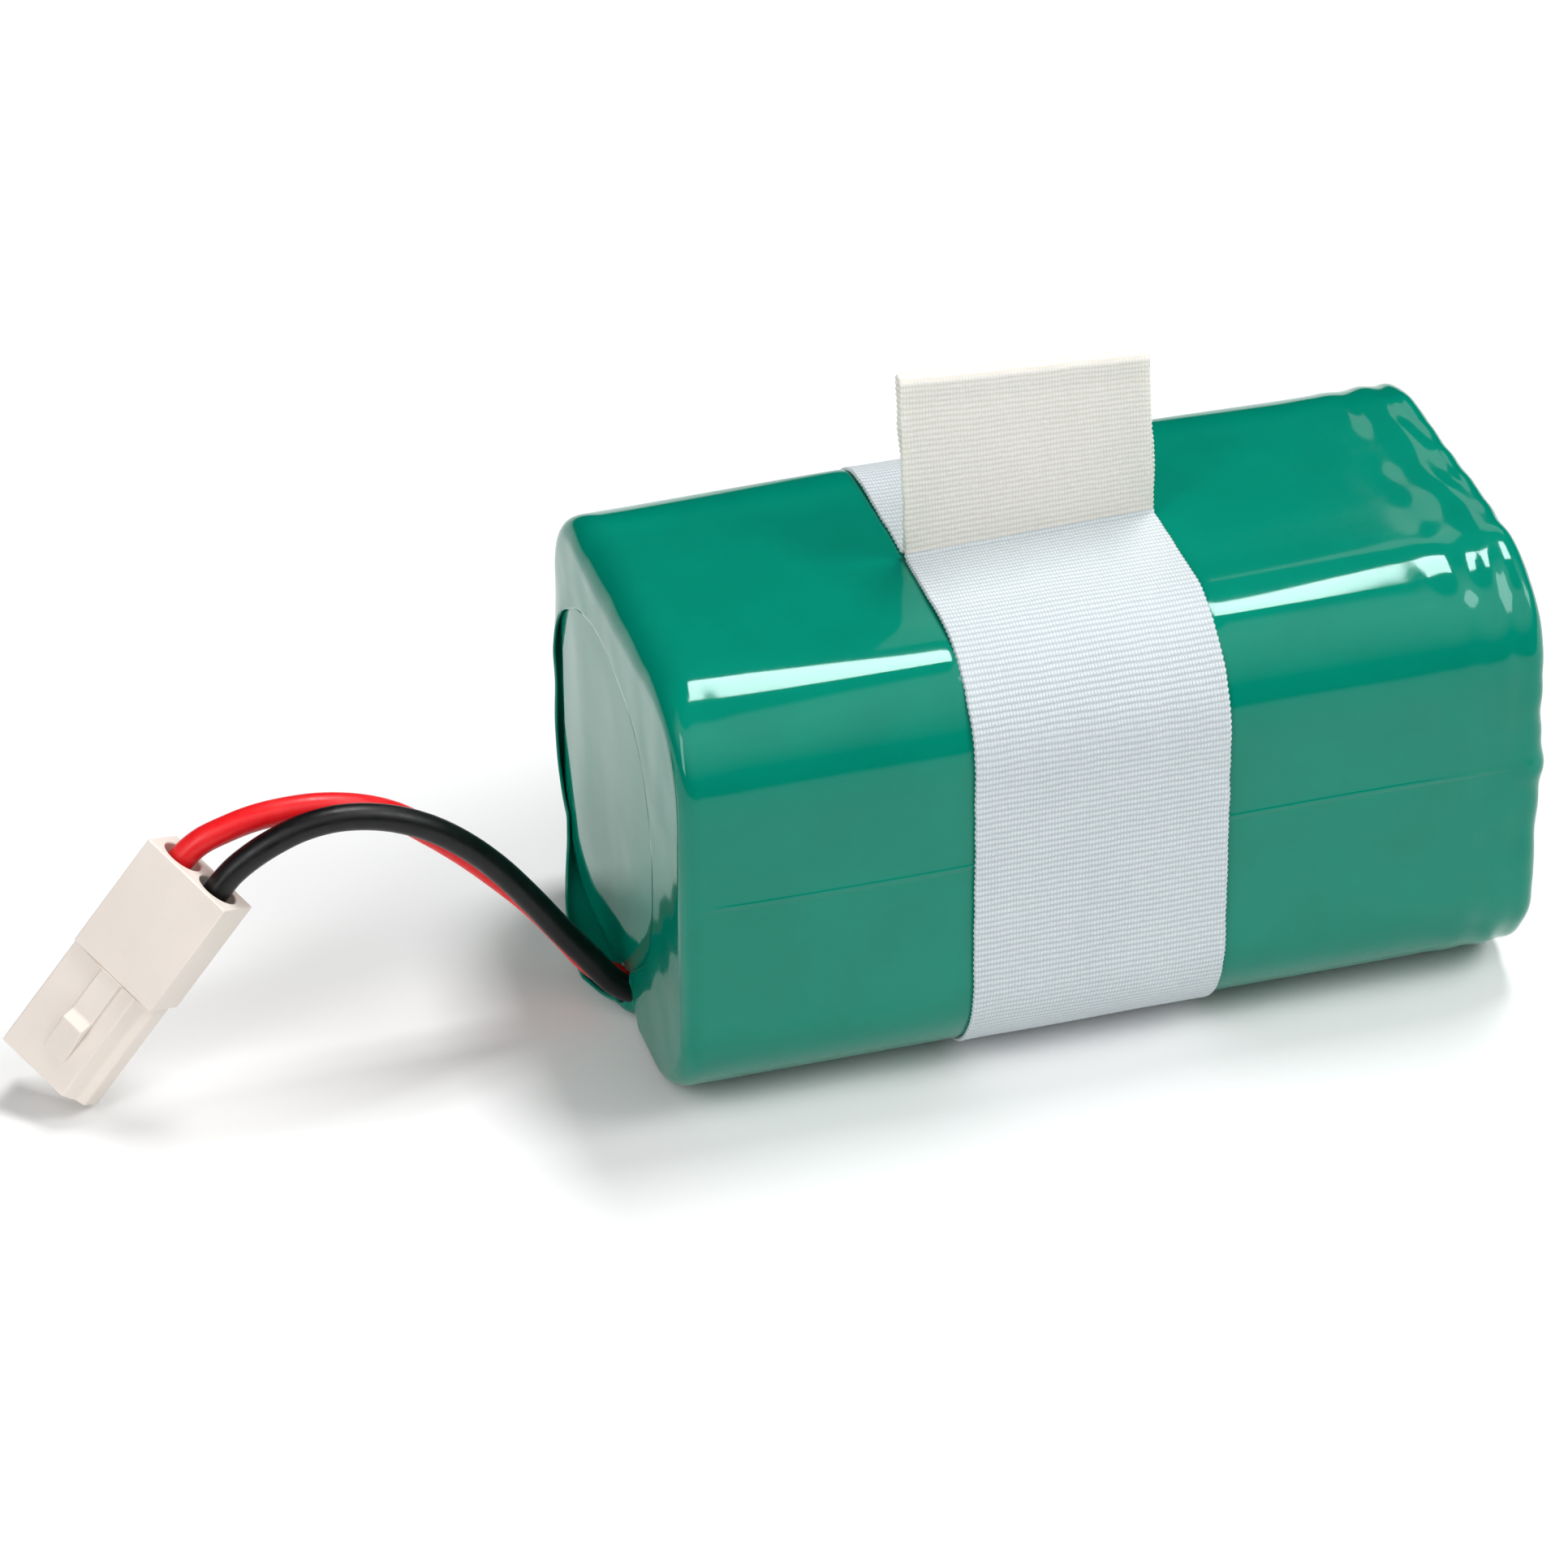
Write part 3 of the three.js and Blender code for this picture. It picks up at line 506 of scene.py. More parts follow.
# The last of the film at each end, which holds the turn; then the radii of the turns.
END_TURN = 3.4 * MM
SIDE_ROUND = 1.5 * MM
TOP_ROUND = 3.1 * MM
LEFT_FOOT_ROUND = 0.7 * MM
RIGHT_ROUND = 1.3 * MM
RIGHT_BULGE = 0.4 * MM
OPENING_RADIUS = 14.2 * MM
RIM_LEAST = 0.35 * MM
LEFT_OPENING = Vector((3.8, 17.6)) * MM
RIGHT_OPENING = Vector((0.0, MID_Z))
CREASE_Z = 21.0 * MM

FLAT_Y = HALF_WIDTH - CORNER
FLAT_Z = HALF_HEIGHT - CORNER
ARC = CORNER * math.pi / 2
PERIMETER = 4 * (FLAT_Y + FLAT_Z + ARC)


def section(girth, grow=0.0):
    """A point of the pack's cross-section in (y, z), and its outward direction.

    girth is the distance round it from the middle of the underside, towards +Y first.
    """
    g = girth % PERIMETER
    stretches = (
        (FLAT_Y, (0.0, -1), (1, 0)), (ARC, (1, -1), None),
        (2 * FLAT_Z, (1, -1), (0, 1)), (ARC, (1, 1), None),
        (2 * FLAT_Y, (1, 1), (-1, 0)), (ARC, (-1, 1), None),
        (2 * FLAT_Z, (-1, 1), (0, -1)), (ARC, (-1, -1), None),
        (FLAT_Y, (-1, -1), (1, 0)),
    )
    for length, (side_y, side_z), way in stretches:
        if g <= length:
            break
        g -= length
    pivot = Vector((side_y * FLAT_Y, side_z * FLAT_Z))
    if way:
        outward = Vector((way[1], -way[0]))
        start = pivot if side_y else Vector((0.0, -FLAT_Z))
        middle = start + Vector(way) * g
    else:
        start_angle = {(1, -1): -0.5, (1, 1): 0.0, (-1, 1): 0.5, (-1, -1): 1.0}[(side_y, side_z)]
        angle = start_angle * math.pi + g / CORNER
        outward = Vector((math.cos(angle), math.sin(angle)))
        middle = pivot
    point = middle + outward * (CORNER + grow)
    return Vector((point.x, point.y + MID_Z)), outward


def from_underside(girth):
    """The distance round from the middle of the underside, in mm: positive towards the back."""
    g = girth / MM
    return g - PERIMETER / MM if g > PERIMETER / MM / 2 else g


def lip_share(g):
    """How far the film stands out round the left end instead of turning in: 1 under the leads."""
    drawn_out = smooth((g + 5.5) / 3.2) * smooth((24 - g) / 12)
    back_edge = 0.3 * smooth((g - 14) / 8) * smooth((50 - g) / 12)
    return max(drawn_out, back_edge)


# The lip under the leads, in mm: the distance round from the middle of the underside, how far
# the film reaches out there, and how far it curls in.
LIP = (
    (-60, 0.3, 0.3), (-6, 0.1, 1.3), (-3.8, 0.4, 1.3), (-1.6, 1.0, 1.2), (-0.5, 1.7, 1.1),
    (2.2, 2.6, 1.0), (5, 2.5, 0.9), (10, 1.6, 0.8), (14, 0.9, 0.6), (18, 0.4, 0.4),
    (60, 0.3, 0.3))


def lip_at(g):
    """How far the lip reaches out and curls in at a distance g round."""
    for (low, from_reach, from_curl), (high, to_reach, to_curl) in zip(LIP, LIP[1:]):
        if g <= high:
            break
    share = (g - low) / (high - low)
    return mix(from_reach, to_reach, share) * MM, mix(from_curl, to_curl, share) * MM


def end_radius(g, side):
    """How round the film turns at an end: on the left broad over the top, small at the foot."""
    if side > 0:
        return RIGHT_ROUND
    height = math.cos(2 * math.pi * g / (PERIMETER / MM))
    over_top = smooth((-0.72 - height) / 0.2)
    at_foot = smooth((g + 17) / 6) * smooth((2 - g) / 4)
    return mix(mix(SIDE_ROUND, TOP_ROUND, over_top), LEFT_FOOT_ROUND, at_foot)


def end_of_sleeve(girth, t, side):
    """A point on the film at an end: t is 0 where the end's turn starts, and 1 at the rim."""
    g = from_underside(girth)
    centre = LEFT_OPENING if side < 0 else RIGHT_OPENING
    edge, outward = section(girth)
    inward = (centre - edge).normalized()
    angle = math.atan2(-inward.y, -inward.x)
    wander = 0.35 * math.sin(3 * angle + 0.6) + 0.2 * math.sin(5 * angle + 2.1)
    wander += 0.1 * math.sin(9 * angle)
    depth = max((edge - centre).length - OPENING_RADIUS - wander * MM, RIM_LEAST)
    radius = end_radius(g, side)
    straight = END_TURN - radius + (RIGHT_BULGE if side > 0 else 0.0)
    turn = math.acos(max(0.0, 1 - depth / radius))
    path = straight + radius * turn + max(0.0, depth - radius)
    s = t * path
    a = min(max((s - straight) / radius, 0.0), math.pi / 2)
    inset = radius * (1 - math.cos(a)) + max(0.0, s - straight - radius * math.pi / 2)
    point = edge + inward * inset
    along = HALF_LENGTH - END_TURN + min(s, straight) + radius * math.sin(a)
    turned_in = Vector((side * along, point.x, point.y))
    if side > 0:
        return turned_in
    reach, curl_at_rim = lip_at(g)
    curl = curl_at_rim * t ** 7
    x = -HALF_LENGTH + END_TURN - (END_TURN + reach) * t
    drawn = Vector((x, edge.x - outward.x * curl, edge.y - outward.y * curl))
    return turned_in.lerp(drawn, lip_share(g))


# Heights of the film's unevenness, in mm.
RIPPLES_RIGHT, RIPPLES_LEFT = 0.1, 0.02
LUMPS_RIGHT, LUMPS_LEFT = 0.1, 0.05
RIM_LUMPS = 0.2
TOP_LUMPS = 0.11
SWELL, PEBBLE = 0.025, 0.012
BAND_PRESS = 0.1
CREASE_HEIGHT, CREASE_REACH = 0.1, 0.22
# A nib at the right end of the front: its height, its place up and its reach, in mm.
NIB_HEIGHT, NIB_Z, NIB_REACH = 0.45, 20.7, 1.3
# Flutes round the right end: place along X, reach and height, in mm.
FLUTES = ((28.4, 1.0, 0.13), (31.4, 0.9, 0.24), (33.7, 0.7, 0.14))
# The distance round at which the top's flat meets the front top corner.
FRONT_TOP = 2 * FLAT_Z + 2 * ARC + 3 * FLAT_Y


def off_band_at(x):
    """The distance along X from the ribbon's nearer edge, in mm."""
    return abs(x - RIBBON_X / MM) - RIBBON_WIDTH / MM / 2


def edge_crease(turn_along, x):
    """The ribbon draws the film tight, so the long top edges are sharper beside it.

    turn_along is the distance round, in mm, from where the top's flat ends.
    """
    off_band = off_band_at(x)
    pull = 0.33 * smooth(1 - off_band / 24)
    sharp = 4.7
    radius = CORNER / MM
    peak = sharp * sharp / (2 * radius)
    if turn_along < sharp:
        along = max(turn_along, 0.0)
        height = along * along / (2 * radius) - 0.35 * peak
    else:
        height = 0.65 * peak * (1 - smooth((turn_along - sharp) / 5))
    return pull * height * smooth((turn_along + 6) / 6)


def film_height(point, girth):
    """How far the film stands proud of its even shape."""
    x, y, z = point.x / MM, point.y / MM, point.z / MM
    half = HALF_LENGTH / MM
    right = smooth((x - half + 11) / 9)
    left = smooth((-x - half + 8) / 7)
    at_right_end = smooth((x - half + 3) / 2.5)
    ripples = noise.noise(Vector((x / 2.3, y / 7 + 3.1, z / 7)))
    lumps = noise.noise(Vector((x / 3.8 + 7.7, y / 3.4, z / 3.4)))
    height = (RIPPLES_RIGHT * right + RIPPLES_LEFT * left) * ripples
    height += (LUMPS_RIGHT * right + LUMPS_LEFT * left) * lumps
    height += RIM_LUMPS * at_right_end * noise.noise(Vector((x / 6, y / 2.6 + 4.4, z / 2.6)))
    on_top = smooth(z - 35.5)
    height += TOP_LUMPS * right * on_top * noise.noise(Vector((x / 3.1 + 2.2, y / 4.6, 5.0)))
    corner_share = smooth((abs(y) - 11) / 4) * smooth((abs(z - MID_Z / MM) - 8) / 4)
    waver = 0.7 * noise.noise(Vector((y / 5, z / 5, 11.0)))
    strength = 0.75 + 0.6 * noise.noise(Vector((y / 6, z / 6, 21.0)))
    strength *= mix(0.35, 1.0, corner_share)
    for place, reach, rise in FLUTES:
        height += rise * strength * math.exp(-(((x - place - waver) / reach) ** 2))
    height += PEBBLE * noise.noise(Vector((x / 12, y / 3.5, z / 3.5 + 9.2)))
    height += SWELL * noise.noise(Vector((x / 20, y / 9, z / 9)))
    front_turn = (girth - FRONT_TOP) / MM
    back_turn = (FRONT_TOP - 2 * FLAT_Y - girth) / MM
    height += edge_crease(front_turn if y < 0 else back_turn, x)
    if abs(y) > HALF_WIDTH / MM - 1:
        line = z - CREASE_Z / MM - 0.25 * math.sin(x / 11)
        crease = CREASE_HEIGHT * math.exp(-((line / CREASE_REACH) ** 2))
        height += crease * (1 - 0.4 * right) * smooth((half - 3 - abs(x)) / 2 + 1)
    height += NIB_HEIGHT * at_right_end * math.exp(-(((z - NIB_Z) / NIB_REACH) ** 2)) * (y < 0)
    height -= BAND_PRESS * smooth(0.5 - off_band_at(x) / 1.2)
    return height * MM


def make_sleeve():
    end_rows = 40
    body_rows = 160
    even_columns = 336
    crease_steps, crease_step = 9, 0.09 * MM
    # Even steps round the pack, and close ones over the crease on the front and on the back.
    girths = [PERIMETER * c / even_columns for c in range(even_columns)]
    back_crease = FLAT_Y + ARC + FLAT_Z + (CREASE_Z - MID_Z)
    for crease in (PERIMETER - back_crease, back_crease):
        girths += [crease + i * crease_step for i in range(-crease_steps, crease_steps + 1)]
    girths.sort()
    columns = len(girths)
    points = []
    for r in range(end_rows):
        points += [end_of_sleeve(g, 1 - r / end_rows, -1) for g in girths]
    span = HALF_LENGTH - END_TURN
    for r in range(body_rows + 1):
        x = mix(-span, span, r / body_rows)
        for g in girths:
            edge, _ = section(g)
            points.append(Vector((x, edge.x, edge.y)))
    for r in range(end_rows):
        points += [end_of_sleeve(g, (r + 1) / end_rows, 1) for g in girths]
    rows = 2 * end_rows + body_rows + 1
    faces = grid_faces(rows, columns, wrap_columns=True)
    sleeve = add_mesh("sleeve_film", points, faces, MATERIALS["sleeve_pvc"])
    normals = [v.normal.copy() for v in sleeve.data.vertices]
    facing = 1 if normals[(rows // 2) * columns].z < 0 else -1
    for index, vertex in enumerate(sleeve.data.vertices):
        vertex.co += normals[index] * facing * film_height(vertex.co, girths[index % columns])
        vertex.co.z = max(vertex.co.z, 0.05 * MM)
    if facing < 0:
        sleeve.data.flip_normals()
    thicken(sleeve, FILM, -1)
    stand_for(sleeve, "pack", "shrink_sleeve")


make_sleeve()

# ---------------------------------------------------------------- end sheets

SHEET_SHORT = 0.4 * MM
SHEET_DOME = 0.16
NOTCH_LOW, NOTCH_HIGH = -4.4 * MM, 2.4 * MM


def make_end_sheet(name, side, node):
    """A film sheet over the cells' ends, a little proud of the strips and parts beneath it."""
    low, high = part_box(node)
    outer = low[0] if side < 0 else high[0]
    shrink = HALF_WIDTH - high[1] + SHEET_SHORT
    columns = 160
    rings = 40
    points = []
    for ring in range(rings):
        share = (ring + 1) / rings
        for c in range(columns):
            edge, _ = section(PERIMETER * c / columns, -shrink)
            y, z = edge.x * share, MID_Z + (edge.y - MID_Z) * share
            if side < 0:
                # The leads come out through a notch in the left sheet's foot.
                in_notch = smooth((y - NOTCH_LOW) / MM) * smooth((NOTCH_HIGH - y) / MM)
                notch_top = mix(4.0, 3.35, smooth((y / MM + 1.6) / 1.2)) * MM
                z = max(z, mix(low[2], notch_top, in_notch))
                z = max(z, low[2]) + 0.02 * MM * share
            dome = SHEET_DOME * smooth((1 - share) * 2.2)
            wave = 0.07 * noise.noise(Vector((y / MM / 9, z / MM / 9, side * 5.0)))
            wave += 0.01 * noise.noise(Vector((y / MM / 3.4, z / MM / 3.4, side * 9.0)))
            proud = (dome + wave * smooth((1 - share) * 3)) * MM
            points.append(Vector((outer + side * proud, y, z)))
    faces = grid_faces(rings, columns, wrap_columns=True)
    hub = len(points)
    points.append(Vector((outer + side * SHEET_DOME * MM, 0.0, MID_Z)))
    faces += [(hub, c, (c + 1) % columns) for c in range(columns)]
    sheet = add_mesh(name, points, faces, MATERIALS["end_sheet"])
    face_outward(sheet, side)
    thicken(sheet, high[0] - low[0], -1)
    stand_for(sheet, "pack", node)


make_end_sheet("left_end_film", -1, "left_end_sheet")
make_end_sheet("right_end_film", 1, "right_end_sheet")

# ---------------------------------------------------------------- ribbon and pull tab

RIBBON_THICK = 0.3 * MM
RIBBON_LIFT = 0.17 * MM
PLY_APART = 0.27 * MM
FOLD_APART = 0.42 * MM
FOOT_BEND = 0.55 * MM
TAB_TURN = math.radians(2.0)
TAB_SLANT = 0.6 * MM
TAB_WAVE = 0.16 * MM
TAB_TOP_LEFT = 53.8 * MM
TAB_TOP_RIGHT = 52.0 * MM
WEAVE_REPEAT = 0.5 * MM
ROW_STEP = WEAVE_REPEAT / 4
SELVEDGE = 0.16 * MM
SCALLOP = 0.05 * MM
FRAY = 0.07 * MM
GLUE_THICK = 0.16 * MM


def ribbon_line():
    """The ribbon's middle line in (y, z), once round the pack and up over the tab, with each
    point's outward direction and whether it is on the tab: 0 is on the band and 1 on the tab."""
    line = []
    top = MID_Z + HALF_HEIGHT + RIBBON_LIFT
    foot_z = top + FOOT_BEND

    def add(y, z, out_y, out_z, share):
        line.append((Vector((y, z)), Vector((out_y, out_z)).normalized(), share))

    half_way = PERIMETER / 2
    back_start = half_way - (FOOT_BEND + PLY_APART)
    band_length = PERIMETER - 2 * (FOOT_BEND + PLY_APART)
    steps = round(band_length / ROW_STEP)
    for i in range(steps + 1):
        girth = back_start - i * band_length / steps
        place, outward = section(girth, RIBBON_LIFT)
        add(place.x, place.y, outward.x, outward.y, 0.0)
    bend_steps = 5
    for i in range(1, bend_steps + 1):
        a = i / bend_steps * math.pi / 2
        y = -(FOOT_BEND + PLY_APART) + FOOT_BEND * math.sin(a)
        add(y, foot_z - FOOT_BEND * math.cos(a), -math.sin(a), math.cos(a), 0.5 * i / bend_steps)
    height = TAB_HIGH[2] - foot_z - FOLD_APART - RIBBON_THICK / 2
    rise_steps = round(height / ROW_STEP)

    def apart(t):
        """Half of the gap between the plies' middles, which widens towards the fold."""
        return mix(PLY_APART, FOLD_APART, smooth((t * height - height + 2.2 * MM) / (2.2 * MM)))

    for i in range(1, rise_steps + 1):
        t = i / rise_steps
        add(-apart(t), foot_z + t * height, -1, 0, 1.0)
    fold_steps = 8
    for i in range(1, fold_steps):
        a = math.pi * i / fold_steps
        add(-FOLD_APART * math.cos(a), foot_z + height + FOLD_APART * math.sin(a),
            -math.cos(a), math.sin(a), 1.0)
    for i in range(rise_steps, -1, -1):
        t = i / rise_steps
        add(apart(t), foot_z + t * height, 1, 0, 1.0)
    for i in range(bend_steps - 1, 0, -1):
        a = i / bend_steps * math.pi / 2
        y = (FOOT_BEND + PLY_APART) - FOOT_BEND * math.sin(a)
        add(y, foot_z - FOOT_BEND * math.cos(a), math.sin(a), math.cos(a), 0.5 * i / bend_steps)
    return line, foot_z, height


def on_tab(point, foot_z, height):
    """Where a point of a straight tab goes: its top slants, and it turns and waves a little."""
    x, y, z = point
    up = max(0.0, (z - foot_z) / height)
    across = (x - RIBBON_X) / (RIBBON_WIDTH / 2)
    top = mix(TAB_TOP_LEFT, TAB_TOP_RIGHT, (across + 1) / 2) - 0.12 * MM * (1 - across ** 2)
    z += min(up, 1.0) * (top - TAB_HIGH[2])
    y += TAB_Y + (x - RIBBON_X) * math.tan(TAB_TURN)
    y += TAB_WAVE * math.sin(2.4 * across + 0.4) * smooth(up * 1.3)
    return Vector((x - TAB_SLANT * up, y, z)), up


def make_ribbon():
    line, foot_z, height = ribbon_line()
    columns = 30
    edge_out = RIBBON_WIDTH / 2
    # Across the ribbon: a flat middle and a rounded, slightly thicker selvedge at each side.
    across = [-1 + 0.012 * i for i in range(4)]
    across += [mix(-0.95, 0.95, i / (columns - 9)) for i in range(columns - 8)]
    across += [1 - 0.012 * i for i in range(3, -1, -1)]

    def half_thickness(share):
        from_edge = (1 - abs(share)) * edge_out
        rounded = math.sqrt(max(0.0, 1 - (1 - min(from_edge / SELVEDGE, 1.0)) ** 2))
        fuller = 1 + 0.25 * bump_at(from_edge, 0.3 * MM, 0.4 * MM)
        return RIBBON_THICK / 2 * (0.25 + 0.75 * rounded) * fuller

    travelled = 0.0
    previous = None
    points = []
    lengths = []
    for place, outward, share in line:
        if previous is not None:
            travelled += (place - previous).length
        previous = place
        lengths.append(travelled)
        ring = []
        for face in (1, -1):
            order = across if face > 0 else across[::-1]
            for a in order:
                scallop = SCALLOP * math.cos(2 * math.pi * travelled / WEAVE_REPEAT)
                fray = FRAY * noise.noise(Vector((travelled / MM / 1.9, 4.0 * (a > 0), 0.5)))
                uneven = scallop * (abs(a) > 0.99) + fray
                x = RIBBON_X + a * edge_out + math.copysign(1, a) * uneven * (abs(a) > 0.95)
                lift = 0.03 * MM * noise.noise(Vector((x / MM / 6, travelled / MM / 5, 2.0)))
                flat = place + outward * (half_thickness(a) * face + lift)
                y, z = flat.x, flat.y
                if share > 0:
                    (x, y, z), up = on_tab((x, y, z), foot_z, height)
                    if outward.x > 0.5:
                        x += 0.35 * MM * bump_at(up, 0.3, 0.42)
                elif z > MID_Z + HALF_HEIGHT - 0.2 * MM:
                    near = smooth(1 - abs(y) / (6 * MM))
                    y += near * (TAB_Y + (x - RIBBON_X) * math.tan(TAB_TURN))
                ring.append(Vector((x, y, z)))
        points += ring
    ring_size = 2 * len(across)
    faces = grid_faces(len(line), ring_size, wrap_columns=True, wrap_rows=True)
    ribbon = add_mesh("ribbon", points, faces, MATERIALS["ribbon"])
    ribbon.data.materials.append(MATERIALS["tab_ribbon"])
    layer = ribbon.data.uv_layers.new(name="weave")
    for polygon in ribbon.data.polygons:
        row = polygon.index // ring_size
        if line[row][2] > 0.3:
            polygon.material_index = 1
        for loop in polygon.loop_indices:
            vertex = ribbon.data.loops[loop].vertex_index
            r, c = divmod(vertex, ring_size)
            a = across[c] if c < len(across) else across[::-1][c - len(across)]
            along = lengths[r]
            if r == 0 and row == len(line) - 1:
                along = travelled + ROW_STEP
            layer.data[loop].uv = (a * edge_out / MM + edge_out / MM, along / MM)
    face_outward(ribbon)
    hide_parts("ribbon_band", "pull_tab")
    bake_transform(ribbon)


def make_tab_glue():
    """The glue between the tab's two plies, short of their edges, bent as they are."""
    _, foot_z, height = ribbon_line()
    half = RIBBON_WIDTH / 2 - 0.6 * MM
    columns, rows = 30, 24
    points = []
    for r in range(rows + 1):
        for c in range(columns + 1):
            x = RIBBON_X + mix(-half, half, c / columns)
            z = mix(foot_z + 0.4 * MM, foot_z + height - 0.3 * MM, r / rows)
            points.append(on_tab((x, GLUE_THICK / 2, z), foot_z, height)[0])
    faces = grid_faces(rows + 1, columns + 1)
    glue = add_mesh("tab_glue_film", points, faces, MATERIALS["tab_glue"])
    thicken(glue, GLUE_THICK, -1 if glue.data.polygons[0].normal.y > 0 else 1)
    stand_for(glue, "tab", "tab_glue")


make_ribbon()
make_tab_glue()

# ---------------------------------------------------------------- plug

PLUG_BORE = 3.3 * MM
NOSE_BORE = 2.2 * MM
BORE_DEPTH = 9.5 * MM
NOSE_LENGTH = 10.15 * MM
NOSE_STEP = 0.35 * MM
LATCH_WIDTH = 2.1 * MM
EDGE_ROUND = 0.2 * MM
# Faces of at least this area are flat; the smaller ones are the rounding of the edges.
FLAT_AREA = 0.8 * MM * MM


def prism(name, outline, low, high):
    """A solid along local Z over an outline in (X, Y), in metres."""
    count = len(outline)
    points = [Vector((x, y, z)) for z in (low, high) for x, y in outline]
    faces = [tuple(range(count))[::-1], tuple(range(count, 2 * count))]
    faces += [(i, (i + 1) % count, count + (i + 1) % count, count + i) for i in range(count)]
    return add_mesh(name, points, faces, MATERIALS["plug_nylon"], shade_smooth=False)


def circle(radius, x, count):
    turns = [2 * math.pi * i / count for i in range(count)]
    return [(x + radius * math.cos(a), radius * math.sin(a)) for a in turns]


def combine(piece, others, operation):
    for other in others:
        step = piece.modifiers.new("combine", "BOOLEAN")
        step.object = other
        step.operation = operation
        step.solver = "EXACT"
    apply_modifiers(piece)
    for other in others:
        bpy.data.objects.remove(other)


def make_plug():
    half_width, half_thick = PLUG_WIDTH / 2, PLUG_THICK / 2
    rear_length = PLUG_LENGTH - NOSE_LENGTH
    rear = prism("plug_body", [
        (-half_width, -half_thick), (half_width, -half_thick),
        (half_width, half_thick), (-half_width, half_thick)], -rear_length, 0.0)

    right = half_width - NOSE_STEP
    front, back = -half_thick + NOSE_STEP, half_thick - NOSE_STEP
    nose = prism("nose", [
        (-half_width, front), (right - 1.4 * MM, front), (right - 0.7 * MM, front + 1.3 * MM),
        (right, front + 1.7 * MM), (right, back), (-half_width, back)],
        -PLUG_LENGTH, -rear_length + MM)

    # The rib and the latch, as an outline in (distance from the nose, height over the nose).
    rib_top = NOSE_STEP - 0.02 * MM
    side = [
        (NOSE_LENGTH + MM, -0.2 * MM), (NOSE_LENGTH + MM, rib_top), (6.1 * MM, rib_top),
        (5.3 * MM, rib_top + 0.65 * MM), (2.0 * MM, 0.0), (2.0 * MM, -0.2 * MM)]
    count = len(side)
    half_latch = LATCH_WIDTH / 2
    points = [
        Vector((x, front - height, -PLUG_LENGTH + reach))
        for x in (-half_latch, half_latch) for reach, height in side]
    faces = [tuple(range(count)), tuple(range(count, 2 * count))[::-1]]
    faces += [(i, count + i, count + (i + 1) % count, (i + 1) % count) for i in range(count)]
    latch = add_mesh("latch", points, faces, MATERIALS["plug_nylon"], shade_smooth=False)
    for solid in (rear, nose, latch):
        face_outward(solid)
    combine(rear, [nose, latch], "UNION")

    cutters = []
    for x in (-PLUG_PITCH / 2, PLUG_PITCH / 2):
        bore, socket = circle(PLUG_BORE / 2, x, 64), circle(NOSE_BORE / 2, x, 48)
        cutters.append(prism("bore", bore, -BORE_DEPTH, MM))
        cutters.append(prism("socket", socket, -PLUG_LENGTH - MM, -BORE_DEPTH + MM))
    for cutter in cutters:
        face_outward(cutter)
    combine(rear, cutters, "DIFFERENCE")

    rounding = rear.modifiers.new("edges", "BEVEL")
    rounding.width = EDGE_ROUND
    rounding.segments = 3
    rounding.limit_method = "ANGLE"
    rounding.angle_limit = math.radians(25)
    apply_modifiers(rear)
    for polygon in rear.data.polygons:
        polygon.use_smooth = polygon.area < FLAT_AREA
    rear.data.transform(PLUG_FRAME)
    stand_for(rear, "pack", "plug_housing")
    return rear


plug_body = make_plug()

# The leads go on the pack here, in place of the CAD leads, once the pieces on them exist.
for wire, start, length, slot, node in (
        (red_wire, red_exit, red_length, "lead_red", "red"),
        (black_wire, black_exit, black_length, "lead_black", "black")):
    stand_for(wire, "pack", node + "_lead")

# ---------------------------------------------------------------- floor and light

FLOOR_SIZE = 3.0
FLOOR_Z = -0.02 * MM
FRONT_LIGHT = 1.4
# Moves the overhead softbox towards +X, so that its reflection runs along the whole front top edge.
OVERHEAD_SHIFT = 0.24


def make_floor():
    half = FLOOR_SIZE / 2
    corners = ((-half, -half), (half, -half), (half, half), (-half, half))
    points = [(x, y, FLOOR_Z) for x, y in corners]
    n = Nodes("floor_paint")
    n.set(Base_Color=(0.9, 0.9, 0.9, 1.0), Roughness=0.95)
    n.shader.inputs["Specular IOR Level"].default_value = 0.1
    floor = add_mesh("floor", points, [(0, 1, 2, 3)], n.material, shade_smooth=False)


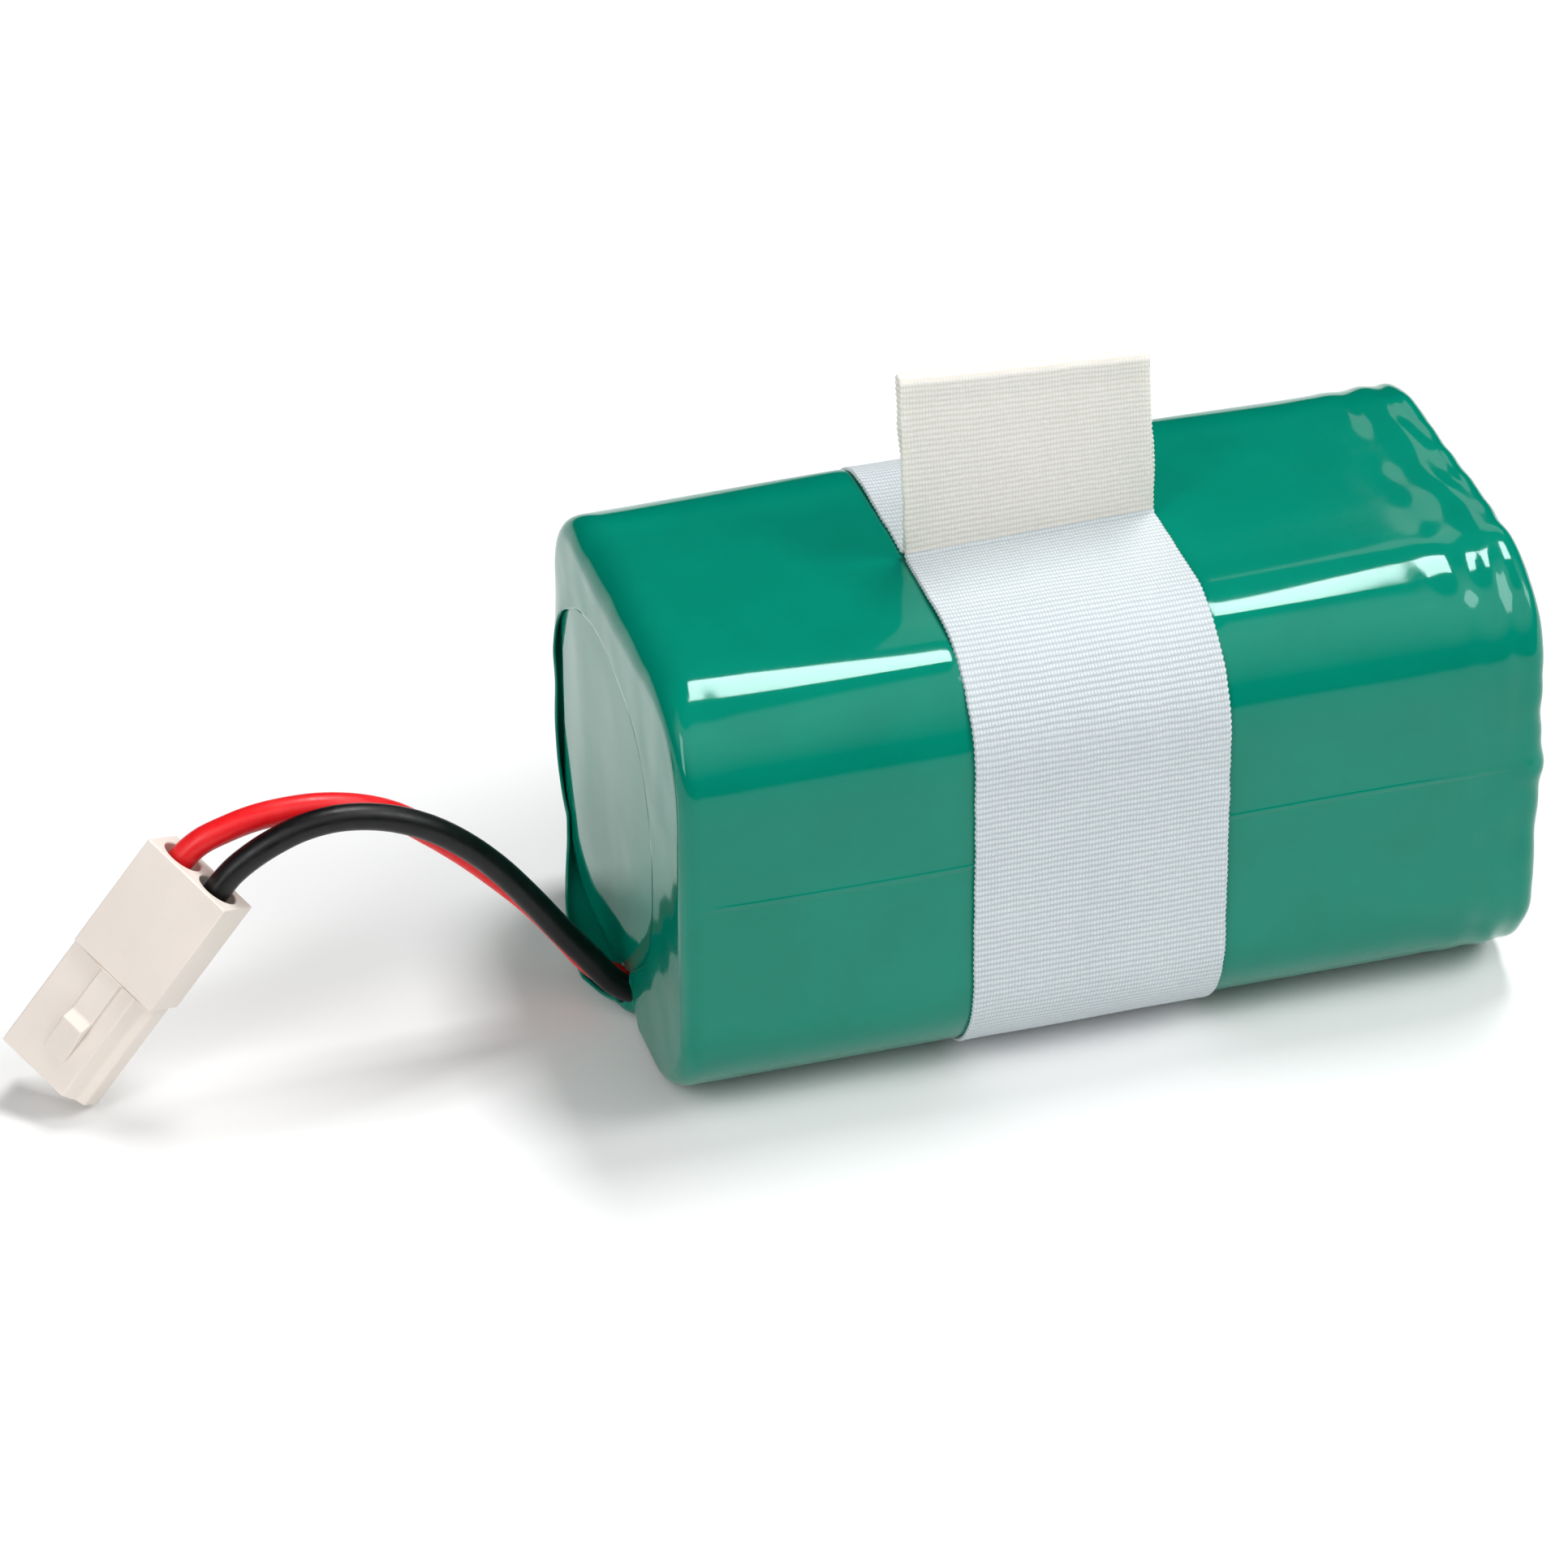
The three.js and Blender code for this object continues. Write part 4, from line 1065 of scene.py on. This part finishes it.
def add_panel(name, bearing, height_angle, distance, size, radiance):
    """A softbox that faces the pack. Bearing 0 is the front (-Y) and 90 is +X; angles in degrees.

    Its size is across and up, in metres, and its radiance is 1 for a white that just clips.
    """
    data = bpy.data.lights.new(name, "AREA")
    data.shape = "RECTANGLE"
    data.size, data.size_y = size
    data.energy = radiance * math.pi * size[0] * size[1]
    panel = bpy.data.objects.new(name, data)
    turn, rise = math.radians(bearing), math.radians(height_angle)
    out = math.cos(rise)
    way = Vector((math.sin(turn) * out, -math.cos(turn) * out, math.sin(rise)))
    panel.location = Vector((0.0, 0.0, MID_Z)) + way * distance
    panel.rotation_euler = (-way).to_track_quat("-Z", "Y").to_euler()
    bpy.context.scene.collection.objects.link(panel)
    return panel


def make_world():
    """A dim studio with one broad soft light in front of the pack, from 17 to 68 degrees up."""
    world = bpy.data.worlds.new("studio")
    world.use_nodes = True
    tree = world.node_tree
    point = tree.nodes.new("ShaderNodeTexCoord").outputs["Generated"]
    parts = tree.nodes.new("ShaderNodeSeparateXYZ")
    tree.links.new(point, parts.inputs[0])
    rise = tree.nodes.new("ShaderNodeValToRGB")
    tree.links.new(parts.outputs["Z"], rise.inputs["Fac"])
    stops = ((0.3, 0.03), (0.56, 0.75), (0.8, 1.0), (0.9, 0.9), (0.93, 0.06))
    elements = rise.color_ramp.elements
    while len(elements) < len(stops):
        elements.new(0.5)
    for element, (place, level) in zip(elements, stops):
        element.position = place
        element.color = (level, level, level, 1.0)
    ahead = tree.nodes.new("ShaderNodeMapRange")
    from_back_to_front = {"From Min": 0.2, "From Max": -0.15, "To Min": 0.04, "To Max": 1.0}
    for name, value in from_back_to_front.items():
        ahead.inputs[name].default_value = value
    tree.links.new(parts.outputs["Y"], ahead.inputs["Value"])
    level = tree.nodes.new("ShaderNodeMath")
    level.operation = "MULTIPLY"
    tree.links.new(rise.outputs["Color"], level.inputs[0])
    tree.links.new(ahead.outputs[0], level.inputs[1])
    background = tree.nodes["Background"]
    tree.links.new(level.outputs[0], background.inputs["Color"])
    background.inputs["Strength"].default_value = FRONT_LIGHT
    bpy.context.scene.world = world


make_floor()
make_world()
overhead = add_panel("overhead_softbox", 180, 77, 0.9, (0.2, 0.36), 25.0)
overhead.location.x += OVERHEAD_SHIFT
add_panel("right_softbox", 61, 45, 0.7, (0.28, 0.26), 7.0)
add_panel("back_softbox", 146, 35, 0.9, (0.26, 0.24), 1.0)
add_panel("left_softbox", -58, 30, 0.8, (0.16, 0.5), 6.0)
bpy.context.scene.view_settings.view_transform = "Standard"

bpy.context.view_layer.update()
